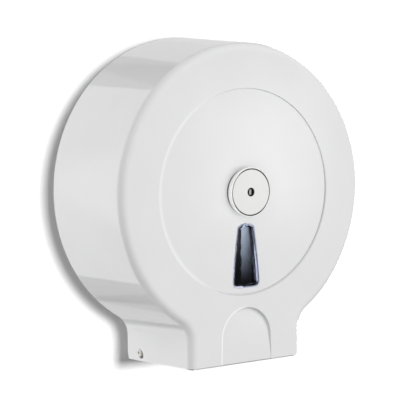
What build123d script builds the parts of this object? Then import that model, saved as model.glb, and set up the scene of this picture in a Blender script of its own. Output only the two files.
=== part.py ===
from build123d import *
import math
import os

# Wall-hung round dispenser for one large roll of paper.
# Every piece is drawn in wall coordinates: X to the right, Y up, Z straight out of the wall,
# with the origin at the centre of the round case on the wall. The last step stands the
# pieces up, so that in the files +Z is up and the front faces -Y. Millimetres throughout.

# ---------------------------------------------------------------- the case and its cover
CASE_RADIUS = 172.5          # round case, outside, where it meets the wall
CASE_DEPTH = 129.0           # wall to the flat front face
CASE_DRAFT_DEG = 3.17        # the round side narrows towards the front
COVER_WALL = 3.0             # moulded wall of the cover
COVER_WALL_GAP = 1.0         # the cover's rear edge stands off the wall
EDGE_RADIUS = 9.0            # round between side and front face
NECK_HALF_WIDTH = 77.0       # outlet neck, outside
SHOULDER_RADIUS = 27.0       # hollow round between case and neck
NECK_REACH_FRONT = 19.7      # neck's lower edge below the foot of the round case, at the front
NECK_REACH_WALL = 25.9       # the same at the wall: the lower edge slopes

# shallow round field in the front face
FIELD_RADIUS = 115.0
FIELD_DEPTH = 1.2
FIELD_FOOT_ROUND = 0.5       # hollow round at the foot of its step
RIM_ROUND = 0.5              # round along the front face's rims, at the field and the thumb recess

# thumb recess over the outlet, deepest at its top
ARCH_RADIUS = 33.5
ARCH_HEIGHT = 61.7           # from the neck's lower edge to the top of the recess
ARCH_FOOT_HALF_WIDTH = 34.8  # half width at the lower edge
ARCH_DEPTH_TOP = 4.8
ARCH_DEPTH_FOOT = 0.6
ARCH_WALL = 2.8              # wall round the recess, inside
ARCH_FLOOR_ROUND = 1.0       # hollow round between its floor and its side

# stiffening ribs behind the front face
FACE_RIB_THICKNESS = 2.0
FACE_RIB_HEIGHT = 4.0
FACE_RIB_REACH = 104.0       # outer end of the ribs from the centre
FACE_RIB_ANGLES = (30, 90, 150, 210, 330)

# ---------------------------------------------------------------- hinge at the neck
HINGE_ABOVE_LIP = 10.4       # hinge axis above the neck's lowest edge
HINGE_STANDOFF = 25.0        # hinge axis out of the wall
HINGE_SWING_CLEARANCE = 1.0  # the cover's rear corner passes the wall with this to spare
PIN_RADIUS = 4.7
PIN_RUNNING_GAP = 0.08       # radial, pin to cover
PIN_PROUD = 1.0              # pin end outside the cover
PIN_HEAD_RADIUS = 7.2
PIN_HEAD_THICKNESS = 2.0
PIN_EYE_RADIUS = 1.7         # blind hole in the pin's end
PIN_EYE_DEPTH = 4.0
PIN_END_CHAMFER = 0.6
PIN_SLOT_LENGTH = 4.0        # the cover's hole runs on this far, so that it can be hooked off
PIN_SLOT_ANGLE_DEG = -25.0   # direction of that slot, from straight out of the wall
HINGE_PAD_RADIUS = 10.0      # pad inside the cover round the hinge hole
HINGE_PAD_THICKNESS = 1.5
FACE_GAP = 0.3               # between flat faces that slide past each other
EAR_THICKNESS = 3.5
EAR_RADIUS = 9.0             # round end of the ear about the pin
EAR_HEIGHT = 38.0            # foot of the ear on the plate
EAR_GUSSET_THICKNESS = 2.0
EAR_GUSSET_REACH = 14.0

# ---------------------------------------------------------------- wall plate
PLATE_THICKNESS = 3.0
PLATE_INSET = 6.0            # plate edge inside the cover's inner wall
PLATE_RIM_THICKNESS = 2.5
PLATE_RIM_HEIGHT = 4.0
PLATE_RIB_THICKNESS = 2.0
PLATE_RIB_HEIGHT = 3.0
PLATE_RIB_COUNT = 8
PLATE_RING_RADIUS = 100.0
PLATE_FOOT_ABOVE_LIP = 1.4   # plate's lower edge above the neck's lowest edge
PLATE_FOOT_ROUND = 6.0
SCREW_SLOT_SPACING_X = 160.0
SCREW_SLOT_SPACING_Y = 160.0
SCREW_SLOT_RADIUS = 2.75
SCREW_SLOT_LENGTH = 12.0     # end to end
SCREW_PAD_MARGIN = 6.0       # pad round each slot
SCREW_PAD_HEIGHT = 2.0
SPINDLE_PAD_MARGIN = 2.0     # pad round the spindle's flange
SPINDLE_PAD_HEIGHT = 3.0

# ---------------------------------------------------------------- spindle, hub, core adapter
SPINDLE_RADIUS = 16.5
SPINDLE_BORE_RADIUS = 13.0
SPINDLE_FLANGE_RADIUS = 34.0
SPINDLE_FLANGE_THICKNESS = 5.0
SPINDLE_SCREW_CIRCLE = 27.0  # radius of the screw circle
SPINDLE_SCREW_COUNT = 3
SCREW_SHANK_RADIUS = 2.0
SCREW_HEAD_RADIUS = 3.8
SCREW_HEAD_HEIGHT = 2.4
SCREW_SINK_DEPTH = 3.0       # the heads lie below the flange's face
SCREW_SINK_GAP = 0.4
SCREW_HOLE_GAP = 0.2         # radial, shank in the flange
SCREW_PLATE_REST = 1.0       # plate left behind the screw's tip
WASHER_THICKNESS = 1.5
WASHER_OUTER_RADIUS = 22.0
HUB_RADIUS = 19.8
HUB_RUNNING_GAP = 0.08       # radial, hub on spindle
HUB_FLANGE_RADIUS = 45.0
HUB_FLANGE_THICKNESS = 3.0
HUB_FLANGE_BEAD = 1.5        # bead round the flange's edge
HUB_RIB_COUNT = 6
HUB_RIB_HEIGHT = 2.4
HUB_RIB_WIDTH = 2.5
HUB_NOSE_CHAMFER = 1.5
RING_THICKNESS = 1.2         # retaining ring in its groove
RING_OUTER_RADIUS = 20.5
RING_GROOVE_DEPTH = 1.0
RING_OPENING_DEG = 50.0
SPINDLE_END_LAND = 2.5       # spindle left in front of the ring's groove
ADAPTER_WALL = 2.5
ADAPTER_SHORTER = 5.9        # the adapter ends this far behind the hub's end
ADAPTER_GAP = 0.05
ADAPTER_FIN_COUNT = 8
ADAPTER_FIN_HEIGHT = 4.5
ADAPTER_FIN_WIDTH = 2.5
ADAPTER_FIN_LEAD = 6.0       # sloping lead at the fins' front ends

# ---------------------------------------------------------------- keeper in the spindle's end
KEEPER_CLEARANCE = 4.8       # keeper's front to the cam's collar
KEEPER_HEIGHT = 8.0          # in front of the spindle
KEEPER_FACE_THICKNESS = 2.5
KEEPER_SKIRT_THICKNESS = 1.5
KEEPER_SKIRT_DEPTH = 8.0
KEEPER_CHAMFER = 1.0
KEEPER_SIDE_GAP = 0.5        # cam to slot, sideways
KEEPER_SWING_GAP = 3.5       # cam to slot, up and down, for the cover's arc

# ---------------------------------------------------------------- lock in the cover
LOCK_BOSS_HEIGHT = 10.7      # boss in front of the round field
LOCK_BOSS_RADIUS = 28.4      # at its front rim
LOCK_BOSS_WAIST = 2.8        # narrower at its foot
LOCK_BOSS_ROUND = 1.0
LOCK_FACE_RADIUS = 25.5
LOCK_FACE_GAP = 0.7          # dark ring between disc and boss
LOCK_FACE_THICKNESS = 2.8
LOCK_FACE_SINK = 0.2
LOCK_FACE_ROUND = 0.5
LOCK_POCKET_DEPTH = 3.0
KEY_HOLE_RADIUS = 4.8
KEY_POST_RADIUS = 2.9
KEY_POST_FLAT = 1.6          # half width across the post's two flats
KEY_POST_SINK = 0.9
KEY_HOLE_DEPTH = 8.4
LOCK_SLEEVE_RADIUS = 22.0
LOCK_SLEEVE_WALL = 2.5
LOCK_SLEEVE_REACH = 9.8      # behind the round field's front face
LOCK_WEB_THICKNESS = 2.5
LOCK_HOLE_GAP = 0.3
LOCK_KEY_WIDTH = 4.0         # rib that stops the housing turning in the cover
LOCK_KEY_HEIGHT = 2.0
LOCK_SEAT_RADIUS = 30.0
LOCK_SEAT_THICKNESS = 1.2
NUT_RADIUS = 27.5
NUT_THICKNESS = 4.0
NUT_NOTCH_COUNT = 6
NUT_NOTCH_RADIUS = 2.5
ROTOR_RADIUS = 9.0
ROTOR_RUNNING_GAP = 0.06
ROTOR_TUBE_WALL = 3.4
ROTOR_FLANGE_RADIUS = 11.0
ROTOR_FLANGE_THICKNESS = 1.9
ROTOR_TANG_SIDE = 8.0
ROTOR_TANG_DEPTH = 2.7
TANG_GAP = 0.1
SPRING_SPACE = 1.2           # between housing and cam collar
SPRING_THICKNESS = 0.5
SPRING_SLACK = 0.05
CAM_COLLAR_RADIUS = 12.0
CAM_COLLAR_THICKNESS = 2.0
CAM_STEM_RADIUS = 3.0
CAM_HALF_LENGTH = 9.0
CAM_THICKNESS = 3.0
CAM_BEHIND_KEEPER = 0.5      # cam to the keeper's face when turned
CAM_SCREW_RADIUS = 1.25
CAM_SCREW_HEAD_RADIUS = 2.8
CAM_SCREW_HEAD_HEIGHT = 2.2
CAM_SCREW_BITE = 6.0         # depth of the screw in the rotor

# ---------------------------------------------------------------- inspection window
WINDOW_TOP_DROP = 35.5
WINDOW_FOOT_DROP = 108.0
WINDOW_TOP_HALF_WIDTH = 11.6
WINDOW_FOOT_HALF_WIDTH = 19.2
WINDOW_CROWN = 4.0           # rise of the domed top edge
WINDOW_SIDE_BULGE = 0.9
WINDOW_FOOT_ROUND = 7.0
WINDOW_TOP_ROUND = 3.0
WINDOW_RIM_HEIGHT = 1.2
WINDOW_RIM_CHAMFER = 0.7
WINDOW_RIM_WIDTH = 2.7       # rim round the sunk pane
WINDOW_RIM_BEARING = 1.2     # part of it that lies on the cover
WINDOW_GAP = 0.25
WINDOW_PANE_DEPTH = 3.8      # pane below the rim
WINDOW_PANE_THICKNESS = 1.8
WINDOW_DRAFT = 0.5           # the sunk tray narrows by this on each side
WINDOW_GROOVE_INSET = 1.1    # groove along the rim
WINDOW_GROOVE_WIDTH = 0.7
WINDOW_GROOVE_DEPTH = 0.5
WINDOW_CLIP_DROPS = (56.0, 90.0)
WINDOW_CLIP_LENGTH = 7.0
WINDOW_CLIP_DEPTH = 3.0
WINDOW_CLIP_HOLD = 1.0
WINDOW_NOTCH_DROP = 73.0
WINDOW_NOTCH_WIDTH = 1.6
WINDOW_NOTCH_DEPTH = 1.0
FRAME_RIB_OFFSET = 1.6       # rib inside the cover round the window
FRAME_RIB_THICKNESS = 1.6
FRAME_RIB_HEIGHT = 2.5

# ---------------------------------------------------------------- serrated tear strip
STRIP_THICKNESS = 1.8
STRIP_HEIGHT = 12.0
STRIP_LEG = 8.0              # run along each side of the neck behind the corner
TOOTH_PROUD = 1.8            # teeth below the lip
TOOTH_PITCH = 2.8
TOOTH_DEPTH = 1.8
TOOTH_LAND = 0.2             # flat left on each tooth's tip
NOTCH_OVERCUT = 0.2

# ---------------------------------------------------------------- derived places
OVERCUT = 5.0
LIP_DROP_FRONT = CASE_RADIUS + NECK_REACH_FRONT
LIP_DROP_WALL = CASE_RADIUS + NECK_REACH_WALL
ARCH_TOP_DROP = LIP_DROP_FRONT - ARCH_HEIGHT
HINGE_DROP = LIP_DROP_WALL - HINGE_ABOVE_LIP
PLATE_FOOT_DROP = LIP_DROP_WALL - PLATE_FOOT_ABOVE_LIP
FIELD_LEVEL = CASE_DEPTH - FIELD_DEPTH
FIELD_BACK = FIELD_LEVEL - COVER_WALL
LOCK_SEAT_LEVEL = FIELD_BACK - LOCK_SEAT_THICKNESS
BOSS_FRONT = FIELD_LEVEL + LOCK_BOSS_HEIGHT
POCKET_FLOOR = BOSS_FRONT - LOCK_POCKET_DEPTH
SLEEVE_END = FIELD_LEVEL - LOCK_SLEEVE_REACH
NECK_INNER = NECK_HALF_WIDTH - COVER_WALL
PAD_FACE = NECK_INNER - HINGE_PAD_THICKNESS
EAR_FACE = PAD_FACE - FACE_GAP
FLANGE_BASE = PLATE_THICKNESS + SPINDLE_PAD_HEIGHT
FLANGE_FACE = FLANGE_BASE + SPINDLE_FLANGE_THICKNESS
WASHER_FACE = FLANGE_FACE + WASHER_THICKNESS
HUB_START = WASHER_FACE + FACE_GAP
COLLAR_FRONT = SLEEVE_END - SPRING_SPACE
COLLAR_BACK = COLLAR_FRONT - CAM_COLLAR_THICKNESS
KEEPER_FRONT = COLLAR_BACK - KEEPER_CLEARANCE
KEEPER_FACE_BACK = KEEPER_FRONT - KEEPER_FACE_THICKNESS
CAM_FRONT = KEEPER_FACE_BACK - CAM_BEHIND_KEEPER
CAM_BACK = CAM_FRONT - CAM_THICKNESS
SPINDLE_END = KEEPER_FRONT - KEEPER_HEIGHT
RING_END = SPINDLE_END - SPINDLE_END_LAND
RING_START = RING_END - RING_THICKNESS
HUB_END = RING_START - FACE_GAP
HUB_RIB_RADIUS = HUB_RADIUS + HUB_RIB_HEIGHT
ADAPTER_BORE = HUB_RIB_RADIUS + ADAPTER_GAP
HUB_SEAT = HUB_START + HUB_FLANGE_THICKNESS
ROTOR_FRONT = POCKET_FLOOR - LOCK_FACE_SINK / 2


def case_radius(level):
    """Outer radius of the round side at a height above the wall."""
    return CASE_RADIUS - level * math.tan(math.radians(CASE_DRAFT_DEG))


def lip_drop(level):
    """Drop of the neck's lower edge at a height above the wall."""
    return LIP_DROP_WALL + (LIP_DROP_FRONT - LIP_DROP_WALL) * level / CASE_DEPTH


def rod(radius, start, end, x=0, y=0):
    """Round bar along Z from one level to another."""
    bar = Cylinder(radius, end - start, align=(Align.CENTER, Align.CENTER, Align.MIN))
    return Pos(x, y, start) * bar


def tube(outer, inner, start, end):
    """Ring or sleeve along Z."""
    return rod(outer, start, end) - rod(inner, start - OVERCUT, end + OVERCUT)


def block(low, high):
    """Box between two corners."""
    size = [high[i] - low[i] for i in range(3)]
    return Pos(*low) * Box(*size, align=(Align.MIN, Align.MIN, Align.MIN))


def side_prism(points, x_start, x_end):
    """Prism along X over a closed outline of (up, out) points."""
    plane = Plane(origin=(x_start, 0, 0), x_dir=(0, 1, 0), z_dir=(1, 0, 0))
    return extrude(plane * make_face(Polyline(*points, close=True)), amount=x_end - x_start)


def mirrored(shape):
    """The same piece on the other side of the centre plane."""
    return mirror(shape, about=Plane.YZ)


def case_solid(inset, start, end, edge_round):
    """Round case and outlet neck as one solid, inset all round, with its front edge rounded."""
    half = NECK_HALF_WIDTH - inset
    low = LIP_DROP_WALL + 4 * OVERCUT
    cone = Pos(0, 0, start) * Cone(
        case_radius(start) - inset,
        case_radius(end) - inset,
        end - start,
        align=(Align.CENTER, Align.CENTER, Align.MIN),
    )
    body = cone + block((-half, -low, start), (half, -CASE_RADIUS / 2, end))
    meeting = [
        edge
        for edge in body.edges()
        if abs(abs(edge.center().X) - half) < 0.01
        and abs(edge.bounding_box().size.Z - (end - start)) < 0.01
        and edge.center().Y > -case_radius(0)
    ]
    body = fillet(meeting, SHOULDER_RADIUS + inset)
    front = [
        edge
        for edge in body.edges()
        if edge.bounding_box().min.Z > end - 0.01 and edge.center().Y > -low + 1
    ]
    return fillet(front, edge_round)


def arch_outline(margin):
    """Round-topped outline of the thumb recess, open past the lower edge."""
    centre = -(ARCH_TOP_DROP + ARCH_RADIUS)
    radius = ARCH_RADIUS + margin
    foot = ARCH_FOOT_HALF_WIDTH + margin
    low = -(LIP_DROP_WALL + OVERCUT)
    dome = CenterArc((0, centre), radius, 0, 180)
    sides = Polyline((-radius, centre), (-foot, low), (foot, low), (radius, centre))
    return make_face([dome, sides])


def arch_wedge(shift):
    """Everything in front of the sloping floor of the thumb recess."""
    top = -ARCH_TOP_DROP
    foot = -LIP_DROP_FRONT
    slope = (ARCH_DEPTH_TOP - ARCH_DEPTH_FOOT) / (top - foot)
    over = 2 * ARCH_RADIUS
    high_floor = CASE_DEPTH - ARCH_DEPTH_TOP - slope * over - shift
    low_floor = CASE_DEPTH - ARCH_DEPTH_FOOT + slope * over - shift
    front = CASE_DEPTH + over
    floor = [(top + over, high_floor), (foot - over, low_floor)]
    return side_prism(floor + [(foot - over, front), (top + over, front)], -over, over)


def window_outline(inset):
    """Tapered outline with a domed top and rounded foot, inset all round."""
    top = -(WINDOW_TOP_DROP + WINDOW_CROWN + inset)
    crown = -(WINDOW_TOP_DROP + inset)
    foot = -WINDOW_FOOT_DROP + inset
    half_top = WINDOW_TOP_HALF_WIDTH - inset
    half_foot = WINDOW_FOOT_HALF_WIDTH - inset
    middle = ((half_top + half_foot) / 2 + WINDOW_SIDE_BULGE, (top + foot) / 2)
    right = ThreePointArc((half_foot, foot), middle, (half_top, top))
    dome = ThreePointArc((half_top, top), (0, crown), (-half_top, top))
    left = ThreePointArc((-half_top, top), (-middle[0], middle[1]), (-half_foot, foot))
    base = Line((-half_foot, foot), (half_foot, foot))
    face = make_face([right, dome, left, base])
    low_corners = [v for v in face.vertices() if v.Y < middle[1]]
    high_corners = [v for v in face.vertices() if v.Y > middle[1]]
    face = fillet(low_corners, max(WINDOW_FOOT_ROUND - inset, 1.0))
    high_corners = [v for v in face.vertices() if v.Y > top - 0.01]
    return fillet(high_corners, max(WINDOW_TOP_ROUND - inset, 0.8))


def window_half_width(drop):
    """Half width of the window's rim at a drop below the centre."""
    top = WINDOW_TOP_DROP + WINDOW_CROWN
    share = (drop - top) / (WINDOW_FOOT_DROP - top)
    straight = WINDOW_TOP_HALF_WIDTH + (WINDOW_FOOT_HALF_WIDTH - WINDOW_TOP_HALF_WIDTH) * share
    return straight + WINDOW_SIDE_BULGE * 4 * share * (1 - share)


def window_tray(inset, top_level, floor_level):
    """Sunk tray that narrows towards its floor."""
    top = Pos(0, 0, top_level) * window_outline(inset)
    floor = Pos(0, 0, floor_level) * window_outline(inset + WINDOW_DRAFT)
    return loft([floor, top], ruled=True)


def lock_hole(gap):
    """Round hole with a notch for the housing's key rib."""
    radius = LOCK_SLEEVE_RADIUS + gap
    half = LOCK_KEY_WIDTH / 2 + gap
    start = LOCK_SEAT_LEVEL - OVERCUT
    end = FIELD_LEVEL + OVERCUT
    notch = block((-half, 0, start), (half, radius + LOCK_KEY_HEIGHT, end))
    return rod(radius, start, end) + notch


def hinge_slot():
    """Hole for the hinge pin that runs on outwards and down, through both sides of the neck."""
    radius = PIN_RADIUS + PIN_RUNNING_GAP
    plane = Plane(origin=(0, -HINGE_DROP, HINGE_STANDOFF), x_dir=(0, 1, 0), z_dir=(1, 0, 0))
    angle = math.radians(PIN_SLOT_ANGLE_DEG)
    end = (PIN_SLOT_LENGTH * math.sin(angle), PIN_SLOT_LENGTH * math.cos(angle))
    turn = Rot(0, 0, 90 - PIN_SLOT_ANGLE_DEG)
    run = Pos(end[0] / 2, end[1] / 2) * turn * Rectangle(PIN_SLOT_LENGTH, 2 * radius)
    outline = Circle(radius) + Pos(*end) * Circle(radius) + run
    return extrude(plane * outline, amount=NECK_HALF_WIDTH + OVERCUT, both=True)


def hinge_rod(radius, start, end):
    """Round bar on the hinge axis."""
    plane = Plane(origin=(start, -HINGE_DROP, HINGE_STANDOFF), x_dir=(0, 1, 0), z_dir=(1, 0, 0))
    return extrude(plane * Circle(radius), amount=end - start)


def rear_corner():
    """Corner of the neck that would strike the wall as the cover swings."""
    reach = HINGE_STANDOFF - HINGE_SWING_CLEARANCE
    half = NECK_HALF_WIDTH + OVERCUT
    low = HINGE_DROP + 2 * reach
    square = block((-half, -low, -OVERCUT), (half, -HINGE_DROP, HINGE_STANDOFF))
    return square - hinge_rod(reach, -half - OVERCUT, half + OVERCUT)


def lip_cut():
    """Everything below the neck's sloping lower edge."""
    start, end = -2 * OVERCUT, CASE_DEPTH + 2 * OVERCUT
    low = -(LIP_DROP_WALL + 8 * OVERCUT)
    points = [(-lip_drop(start), start), (-lip_drop(end), end), (low, end), (low, start)]
    half = NECK_HALF_WIDTH + OVERCUT
    return side_prism(points, -half, half)


def front_cover():
    outside = case_solid(0, COVER_WALL_GAP, CASE_DEPTH, EDGE_RADIUS)
    inside = case_solid(COVER_WALL, -OVERCUT, CASE_DEPTH - COVER_WALL, EDGE_RADIUS - COVER_WALL)
    step = rod(FIELD_RADIUS + COVER_WALL, FIELD_BACK, CASE_DEPTH)
    cover = outside - (inside - step)
    field = rod(FIELD_RADIUS, FIELD_LEVEL, CASE_DEPTH + OVERCUT)
    field = fillet(field.edges().filter_by(lambda e: e.center().Z < CASE_DEPTH), FIELD_FOOT_ROUND)
    cover -= field
    # thumb recess, with its own wall behind it down to the tear strip
    strip_top = lip_drop(CASE_DEPTH) + TOOTH_PROUD - STRIP_HEIGHT - FACE_GAP
    half_depth = CASE_DEPTH / 2
    thick = Pos(0, 0, half_depth) * arch_outline(ARCH_WALL)
    backing = extrude(thick, amount=half_depth - COVER_WALL / 2) & arch_wedge(ARCH_WALL)
    backing -= block(
        (-NECK_HALF_WIDTH, -LIP_DROP_WALL - 2 * OVERCUT, 0),
        (NECK_HALF_WIDTH, -strip_top, CASE_DEPTH - COVER_WALL),
    )
    recess = extrude(Pos(0, 0, half_depth) * arch_outline(0), amount=CASE_DEPTH) & arch_wedge(0)
    floor = recess.faces().sort_by(Axis.Z)[0]
    cover = cover + backing - fillet(floor.edges(), ARCH_FLOOR_ROUND)
    # ribs and seats behind the front face
    for angle in FACE_RIB_ANGLES:
        rib = block(
            (LOCK_SEAT_RADIUS - 1, -FACE_RIB_THICKNESS / 2, FIELD_BACK - FACE_RIB_HEIGHT),
            (FACE_RIB_REACH, FACE_RIB_THICKNESS / 2, FIELD_BACK + COVER_WALL / 2),
        )
        cover += Rot(0, 0, angle) * rib
    cover += rod(LOCK_SEAT_RADIUS, LOCK_SEAT_LEVEL, FIELD_BACK + COVER_WALL / 2)
    frame = window_outline(-FRAME_RIB_OFFSET - FRAME_RIB_THICKNESS) - window_outline(-FRAME_RIB_OFFSET)
    frame_height = FRAME_RIB_HEIGHT + COVER_WALL / 2
    cover += extrude(Pos(0, 0, FIELD_BACK - FRAME_RIB_HEIGHT) * frame, amount=frame_height)
    cover -= lock_hole(LOCK_HOLE_GAP)
    opening = window_outline(WINDOW_RIM_BEARING)
    cover -= extrude(Pos(0, 0, FIELD_BACK - OVERCUT) * opening, amount=COVER_WALL + 2 * OVERCUT)
    # hinge
    pad = hinge_rod(HINGE_PAD_RADIUS, PAD_FACE, NECK_INNER + COVER_WALL / 2)
    cover += pad
    cover += mirrored(pad)
    cover -= hinge_slot()
    cover -= rear_corner()
    cover -= lip_cut()
    return fillet(front_rims(cover), RIM_ROUND)


def front_rims(cover):
    """Edges of the flat front face round the field and the thumb recess."""
    low = -LIP_DROP_FRONT - OVERCUT
    rims = []
    for edge in cover.edges():
        box = edge.bounding_box()
        level = box.min.Z > CASE_DEPTH - 0.01
        round_field = box.max.Y < FIELD_RADIUS + 1 and box.min.Y > -FIELD_RADIUS - 1
        recess = box.max.Y < -ARCH_TOP_DROP + 1 and box.min.Y > low and box.size.Y > 1
        if level and max(abs(box.min.X), abs(box.max.X)) < FIELD_RADIUS + 1 and (round_field or recess):
            rims.append(edge)
    return rims


def plate_outline():
    """Outline of the wall plate: the case's own, further in."""
    inset = COVER_WALL + PLATE_INSET
    neck_height = PLATE_FOOT_DROP - CASE_RADIUS / 2
    neck = Pos(0, -CASE_RADIUS / 2 - neck_height / 2) * Rectangle(2 * EAR_FACE, neck_height)
    outline = Circle(CASE_RADIUS - inset) + neck
    shoulders = [v for v in outline.vertices() if -PLATE_FOOT_DROP + 1 < v.Y < -CASE_RADIUS / 2]
    outline = fillet(shoulders, SHOULDER_RADIUS + inset)
    foot = [v for v in outline.vertices() if v.Y < -PLATE_FOOT_DROP + 1]
    return fillet(foot, PLATE_FOOT_ROUND)


def plate_ear():
    """Hinge ear on the right of the neck, with a gusset to the plate."""
    plane = Plane(origin=(EAR_FACE - EAR_THICKNESS, 0, 0), x_dir=(0, 1, 0), z_dir=(1, 0, 0))
    top = -PLATE_FOOT_DROP + EAR_HEIGHT
    bottom = -PLATE_FOOT_DROP + PLATE_FOOT_ROUND
    base = PLATE_THICKNESS / 2
    nose = (-HINGE_DROP, HINGE_STANDOFF)
    foot = [(bottom, base), (top, base)]
    head = [(nose[0] + EAR_RADIUS, nose[1]), (nose[0] - EAR_RADIUS, nose[1])]
    ear = make_face(Polyline(*foot, *head, close=True)) + Pos(*nose) * Circle(EAR_RADIUS)
    solid = extrude(plane * ear, amount=EAR_THICKNESS)
    inner = EAR_FACE - EAR_THICKNESS
    corner = [(inner - EAR_GUSSET_REACH, base), (inner + 1, base), (inner + 1, HINGE_STANDOFF)]
    level = Plane(origin=(0, top - EAR_HEIGHT / 3, 0), x_dir=(1, 0, 0), z_dir=(0, 1, 0))
    flat = make_face(Polyline(*[(x, -z) for x, z in corner], close=True))
    gusset = extrude(level * flat, amount=EAR_GUSSET_THICKNESS)
    return solid + gusset


def screw_slot(radius, length, start, end):
    """Level slot, drawn at the centre."""
    return extrude(Pos(0, 0, start) * SlotOverall(length, 2 * radius), amount=end - start)


def wall_plate():
    outline = plate_outline()
    plate = extrude(outline, amount=PLATE_THICKNESS)
    rim_top = PLATE_THICKNESS + PLATE_RIM_HEIGHT
    rim = outline - offset(outline, -PLATE_RIM_THICKNESS)
    plate += extrude(rim, amount=rim_top)
    rib_top = PLATE_THICKNESS + PLATE_RIB_HEIGHT
    rib_end = CASE_RADIUS - COVER_WALL - PLATE_INSET - PLATE_RIM_THICKNESS / 2
    half_rib = PLATE_RIB_THICKNESS / 2
    buried = PLATE_THICKNESS / 2
    for index in range(PLATE_RIB_COUNT):
        rib = block((0, -half_rib, buried), (rib_end, half_rib, rib_top))
        plate += Rot(0, 0, 90 + 360 / PLATE_RIB_COUNT * index) * rib
    plate += tube(PLATE_RING_RADIUS + half_rib, PLATE_RING_RADIUS - half_rib, buried, rib_top)
    plate += rod(SPINDLE_FLANGE_RADIUS + SPINDLE_PAD_MARGIN, buried, FLANGE_BASE)
    pad_top = PLATE_THICKNESS + SCREW_PAD_HEIGHT
    spots = [
        (x * SCREW_SLOT_SPACING_X / 2, y * SCREW_SLOT_SPACING_Y / 2) for x in (-1, 1) for y in (-1, 1)
    ]
    pad_radius = SCREW_SLOT_RADIUS + SCREW_PAD_MARGIN
    pad_length = SCREW_SLOT_LENGTH + 2 * SCREW_PAD_MARGIN
    for x, y in spots:
        plate -= Pos(x, y) * screw_slot(pad_radius, pad_length, pad_top, rib_top + OVERCUT)
        plate += Pos(x, y) * screw_slot(pad_radius, pad_length, buried, pad_top)
        plate -= Pos(x, y) * screw_slot(SCREW_SLOT_RADIUS, SCREW_SLOT_LENGTH, -OVERCUT, pad_top + OVERCUT)
    ear = plate_ear()
    plate += ear
    plate += mirrored(ear)
    plate -= hinge_rod(PIN_RADIUS, -NECK_HALF_WIDTH, NECK_HALF_WIDTH)
    for x, y in screw_places():
        plate -= rod(SCREW_SHANK_RADIUS, SCREW_PLATE_REST, FLANGE_BASE + OVERCUT, x, y)
    return plate


def hinge_pin():
    """Headed pin for the right side, pushed outwards through the ear and the cover."""
    inner = EAR_FACE - EAR_THICKNESS
    end = NECK_HALF_WIDTH + PIN_PROUD
    shank = hinge_rod(PIN_RADIUS, inner, end)
    shank = chamfer(shank.edges().filter_by(lambda e: e.center().X > end - 0.01), PIN_END_CHAMFER)
    pin = shank + hinge_rod(PIN_HEAD_RADIUS, inner - PIN_HEAD_THICKNESS, inner)
    return pin - hinge_rod(PIN_EYE_RADIUS, end - PIN_EYE_DEPTH, end + OVERCUT)


def screw_places():
    """Centres of the spindle's screws."""
    angles = [math.radians(90 + 360 / SPINDLE_SCREW_COUNT * i) for i in range(SPINDLE_SCREW_COUNT)]
    return [(SPINDLE_SCREW_CIRCLE * math.cos(a), SPINDLE_SCREW_CIRCLE * math.sin(a)) for a in angles]


def roll_spindle():
    spindle = rod(SPINDLE_FLANGE_RADIUS, FLANGE_BASE, FLANGE_FACE)
    spindle = chamfer(spindle.edges().filter_by(lambda e: e.center().Z > FLANGE_FACE - 0.01), 1.0)
    spindle += rod(SPINDLE_RADIUS, FLANGE_BASE, SPINDLE_END)
    spindle -= rod(SPINDLE_BORE_RADIUS, FLANGE_BASE - OVERCUT, SPINDLE_END + OVERCUT)
    seat_radius = SPINDLE_BORE_RADIUS + KEEPER_SKIRT_THICKNESS
    spindle -= rod(seat_radius, SPINDLE_END - KEEPER_SKIRT_DEPTH, SPINDLE_END + OVERCUT)
    groove_floor = SPINDLE_RADIUS - RING_GROOVE_DEPTH
    spindle -= tube(SPINDLE_RADIUS + OVERCUT, groove_floor, RING_START, RING_END)
    sink_floor = FLANGE_FACE - SCREW_SINK_DEPTH
    for x, y in screw_places():
        spindle -= rod(SCREW_SHANK_RADIUS + SCREW_HOLE_GAP, FLANGE_BASE - OVERCUT, FLANGE_FACE, x, y)
        spindle -= rod(SCREW_HEAD_RADIUS + SCREW_SINK_GAP, sink_floor, FLANGE_FACE + OVERCUT, x, y)
    return spindle


def spindle_screws():
    """Pan-head screws that hold the spindle's flange to the plate."""
    seat = FLANGE_FACE - SCREW_SINK_DEPTH
    screws = []
    for x, y in screw_places():
        head = rod(SCREW_HEAD_RADIUS, seat, seat + SCREW_HEAD_HEIGHT, x, y)
        head = fillet(head.edges().filter_by(lambda e: e.center().Z > seat + 1), 0.8)
        screws.append(head + rod(SCREW_SHANK_RADIUS, SCREW_PLATE_REST, seat, x, y))
    return Part() + screws


def hub_thrust_washer():
    return tube(WASHER_OUTER_RADIUS, SPINDLE_RADIUS, FLANGE_FACE, WASHER_FACE)


def core_hub():
    hub = rod(HUB_RADIUS, HUB_START, HUB_END)
    hub = chamfer(hub.edges().filter_by(lambda e: e.center().Z > HUB_END - 0.01), HUB_NOSE_CHAMFER)
    hub += rod(HUB_FLANGE_RADIUS, HUB_START, HUB_SEAT)
    bead_inner = HUB_FLANGE_RADIUS - HUB_FLANGE_BEAD
    hub += tube(HUB_FLANGE_RADIUS, bead_inner, HUB_START, HUB_SEAT + HUB_FLANGE_BEAD)
    half_rib = HUB_RIB_WIDTH / 2
    rib = block((0, -half_rib, HUB_START), (HUB_RIB_RADIUS, half_rib, HUB_END - HUB_NOSE_CHAMFER))
    for index in range(HUB_RIB_COUNT):
        hub += Rot(0, 0, 360 / HUB_RIB_COUNT * index) * rib
    return hub - rod(SPINDLE_RADIUS + HUB_RUNNING_GAP, HUB_START - OVERCUT, HUB_END + OVERCUT)


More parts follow.
